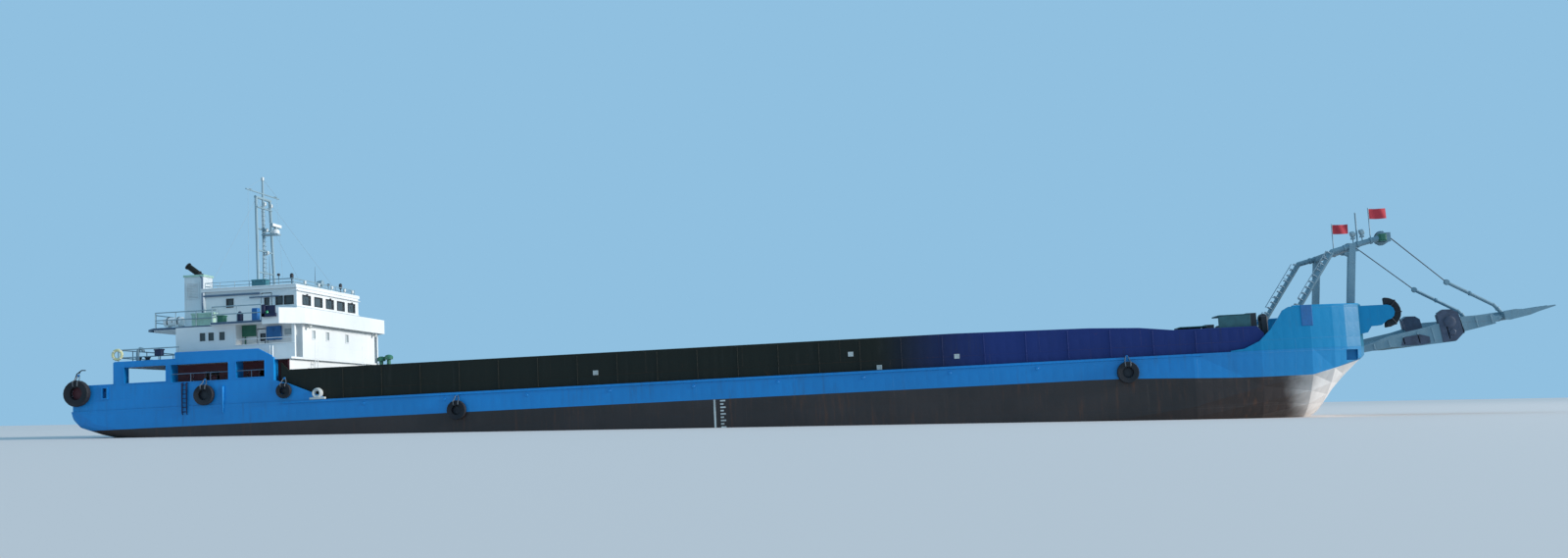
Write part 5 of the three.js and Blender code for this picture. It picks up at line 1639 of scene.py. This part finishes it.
def ramp_stands():
    """Stands and side plates of the ramp, in a darker finish that is painted shade, and its hinge caps."""
    stands = Form()
    for s in (-1, 1):
        y = s * 3.23
        stands.turned([(-0.13, 0.1), (-0.13, 0.2), (-0.1, 0.24), (0.15, 0.24), (0.19, 0.2), (0.19, 0.1)],
            on_ramp(5.62, y, 1.0), (0, s, 0), 18)
        stands.block((5.1, y - 0.19, 0.3), (6.2, y + 0.19, 0.38), 0.02, RAMP_TURN)
        stands.block((5.02, y - 0.2, 0.5), (5.12, y + 0.2, 1.1), 0.02, RAMP_TURN)
        outer = s * 3.42
        for outline in ([(4.95, -0.62), (5.75, -0.7), (6.35, -0.3), (6.28, 0.95), (5.95, 1.22), (5.4, 1.34),
                (5.05, 1.2)], [(2.5, -0.25), (3.6, -0.46), (4.2, -0.48), (4.25, -0.1), (3.7, 0.18),
                (2.7, 0.22)]):
            stands.plate(outline, 0.04, on_ramp(0, outer, 0), RAMP_ALONG, RAMP_UP)
        stands.plate([(5.08, 0.38), (6.22, 0.38), (6.2, 0.95), (5.95, 1.2), (5.4, 1.3), (5.1, 1.18)], 0.02,
            on_ramp(0, s * 3.07, 0), RAMP_ALONG, RAMP_UP)
        for s_at, n, radius in ((5.65, 0.5, 0.36), (5.65, -0.15, 0.2)):
            stands.turned([(-0.02, radius), (0.05, radius), (0.08, radius * 0.8), (0.08, radius * 0.3)],
                on_ramp(s_at, outer, n), (0, s, 0), 18)
    stands.make("ramp_stands", "ramp_dark", body="ramp")

    caps = Form()
    for y in (-3.46, 3.46):
        caps.turned([(-0.05, 0.05), (-0.04, 0.16), (0.04, 0.16), (0.05, 0.05)], on_ramp(0.0, y, 0.0),
            Y_AXIS, 14)
    caps.make("hinge_caps", "machine", body="ramp")


def flap_grips():
    """Grips, collars and rings of the flap and its levers."""
    grip = Form()
    flap_of = Matrix.Translation(FLAP_HINGE) @ Matrix.Rotation(-RAMP_SLOPE, 4, "Y")
    for s, n in ((1.2, 0.25), (1.5, 0.18), (1.8, 0.14), (2.1, 0.115), (2.4, 0.095), (2.7, 0.065),
            (3.0, 0.035)):
        grip.block((s - 0.025, -3.1, n - 0.03), (s + 0.025, 3.1, n + 0.03), 0.01, flap_of)
    for side in (-1, 1):
        y = side * 2.9
        for s, n in ((0.2, 0.55), (-1.15, 1.86)):
            grip.turned([(-0.05, 0.11), (-0.05, 0.15), (0.05, 0.15), (0.05, 0.11), (-0.05, 0.11)],
                FLAP_HINGE + RAMP_ALONG * s + RAMP_UP * n + Y_AXIS * y,
                RAMP_ALONG * (-0.45 if s > 0 else -2.3) + RAMP_UP * 0.8, 12)
        grip.ring(lever_end(side), Y_AXIS, 0.15, 0.035, 16, 6)
    grip.make("flap_grips", "ramp", body="flap")


class BARGE_OT_ramp_gear(bpy.types.Operator):
    """Adds the tread bars, ribs and hinge plates of the ramp and its flap"""

    bl_idname = "barge.ramp_gear"
    bl_label = "Ramp gear"

    def execute(self, context):
        ramp_surface()
        ramp_stands()
        flap_grips()
        return {"FINISHED"}


# Length and height of a flag
FLAG_LONG = 1.02
FLAG_HIGH = 0.63


def flag(side, s):
    """A flag of thin cloth with a wave in it, in place of the flat one."""
    node = "flag_" + side
    cloth_form = Form()
    across = 16
    down = 8
    shells = ([], [])
    for i in range(across + 1):
        t = i / across
        for k in range(down + 1):
            v = k / down
            wave = 0.055 * math.sin(t * 7.0 + v * 1.3 + s) * t ** 0.7
            x = 82.03 + FLAG_LONG * t
            z = 12.66 + FLAG_HIGH * v - 0.03 * math.sin(t * 2.6)
            for half, points in zip((-0.004, 0.004), shells):
                points.append((x, s * 3.9 + wave + half, z))
    cloth_form.add(shells[0] + shells[1], cloth_faces(across, down, len(shells[0])))
    made = cloth_form.make("red_" + node, "flag")
    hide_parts(node)


class BARGE_OT_flags(bpy.types.Operator):
    """Adds the two flags as thin cloth with a wave in it"""

    bl_idname = "barge.flags"
    bl_label = "Flags"

    def execute(self, context):
        on_both_sides(flag)
        return {"FINISHED"}


def staged(name, data, turn=None, at=(0, 0, 0)):
    """Links a light or the floor as part of the stage."""
    obj = bpy.data.objects.new(name, data)
    obj.location = at
    if turn is not None:
        obj.rotation_euler = turn.to_track_quat("-Z", "Y").to_euler()
    bpy.context.scene.collection.objects.link(obj)
    obj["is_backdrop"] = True


# Slope of the waterline along the ship
WATER_FALL = -0.0313375


def floor_and_sky(stage):
    """The floor at the waterline, and a plain background."""
    half = stage.floor_size / 2
    mesh = bpy.data.meshes.new("floor")
    edge = []
    for x, y in ((-half, -half), (half, -half), (half, half), (-half, half)):
        edge.append((x, y, stage.water_aft + WATER_FALL * (x - ORIGIN.x)))
    mesh.from_pydata(edge, [], [(0, 1, 2, 3)])
    material, _, shader, _ = start_material("floor_pale")
    shader["Base Color"].default_value = rgba(stage.floor_pale)
    shader["Roughness"].default_value = 0.9
    mesh.materials.append(material)
    staged("floor", mesh)

    world = bpy.data.worlds.new("studio")
    world.use_nodes = True
    ground = world.node_tree.nodes["Background"]
    ground.inputs["Color"].default_value = rgba(stage.sky)
    ground.inputs["Strength"].default_value = stage.sky_strength
    bpy.context.scene.world = world


def lights(stage):
    """A soft low sun and a wide light, both ahead of the bow."""
    sun = bpy.data.lights.new("soft_sun", "SUN")
    sun.energy = stage.sun_strength
    sun.angle = 0.3
    sun.color = (1.0, 0.95, 0.9)
    staged("soft_sun", sun, Vector((-1.0, 0.045, -0.3)))

    key = bpy.data.lights.new("key", "AREA")
    key.energy = stage.key_power
    key.color = (1.0, 0.97, 0.93)
    key.shape = "RECTANGLE"
    key.size = 8.0
    key.size_y = 5.0
    at = Vector((24.0, -1.2, 7.0))
    staged("key", key, Vector((0.0, 0.0, 0.6)) - at, at)


# Where the photograph was taken from: ship metres, radians, and the lens in millimetres
CAMERA_AT = (53.5533, -94.15342, 2.46361)
CAMERA_YAW = 0.08869
CAMERA_PITCH = 0.09443
CAMERA_ROLL = 0.04953
CAMERA_LENS = 32.625


def camera():
    """The camera at the photograph's viewing angle."""
    turn = (Matrix.Rotation(CAMERA_YAW, 3, "Z") @ Matrix.Rotation(CAMERA_PITCH, 3, "X")
            @ Matrix.Rotation(CAMERA_ROLL, 3, "Y"))
    right, ahead, above = turn.col
    data = bpy.data.cameras.new("camera")
    data.sensor_fit = "HORIZONTAL"
    data.sensor_width = 36.0
    data.lens = CAMERA_LENS
    data.clip_start = 0.05
    data.clip_end = 500.0
    eye = bpy.data.objects.new("camera", data)
    place = Matrix.Identity(4)
    for i in range(3):
        place[i][0] = right[i]
        place[i][1] = above[i]
        place[i][2] = -ahead[i]
    place.translation = ship(*CAMERA_AT)
    eye.matrix_world = place
    bpy.context.scene.collection.objects.link(eye)
    bpy.context.scene.camera = eye


class BARGE_OT_stage(bpy.types.Operator):
    """Adds the floor at the waterline, the lights and the camera"""

    bl_idname = "barge.stage"
    bl_label = "Stage"

    def execute(self, context):
        stage = context.scene.barge_stage
        floor_and_sky(stage)
        lights(stage)
        camera()
        context.scene.view_settings.view_transform = "Standard"
        return {"FINISHED"}


class BARGE_PT_sidebar(bpy.types.Panel):
    """The barge's pieces and settings"""

    bl_label = "Landing barge"
    bl_idname = "BARGE_PT_sidebar"
    bl_space_type = "VIEW_3D"
    bl_region_type = "UI"
    bl_category = "Barge"

    def draw(self, context):
        layout = self.layout
        for kind in OPERATORS:
            layout.operator(kind.bl_idname)
        for settings in (context.scene.barge_paints, context.scene.barge_stage):
            box = layout.box()
            for key in settings.__annotations__:
                box.prop(settings, key)


OPERATORS = (
    BARGE_OT_finishes,
    BARGE_OT_hull_fittings,
    BARGE_OT_cargo_deck,
    BARGE_OT_poop,
    BARGE_OT_wheelhouse,
    BARGE_OT_funnel_and_mast,
    BARGE_OT_bow,
    BARGE_OT_ramp_gear,
    BARGE_OT_hoist,
    BARGE_OT_flags,
    BARGE_OT_stage,
)
CLASSES = (BargePaints, BargeStage) + OPERATORS + (BARGE_PT_sidebar,)


def register():
    for kind in CLASSES:
        bpy.utils.register_class(kind)
    bpy.types.Scene.barge_paints = bpy.props.PointerProperty(type=BargePaints)
    bpy.types.Scene.barge_stage = bpy.props.PointerProperty(type=BargeStage)


def unregister():
    del bpy.types.Scene.barge_stage
    del bpy.types.Scene.barge_paints
    for kind in reversed(CLASSES):
        bpy.utils.unregister_class(kind)


def corners():
    low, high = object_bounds()
    return [list(low), list(high)]


def main():
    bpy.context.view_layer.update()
    register()
    bpy.ops.barge.finishes()
    bpy.ops.barge.hull_fittings()
    bpy.ops.barge.cargo_deck()
    bpy.ops.barge.poop()
    bpy.ops.barge.wheelhouse()
    bpy.ops.barge.funnel_and_mast()
    bpy.ops.barge.bow()
    bpy.ops.barge.ramp_gear()
    bpy.ops.barge.hoist()
    bpy.ops.barge.flags()
    bpy.ops.barge.stage()


if __name__ == "__main__":
    main()
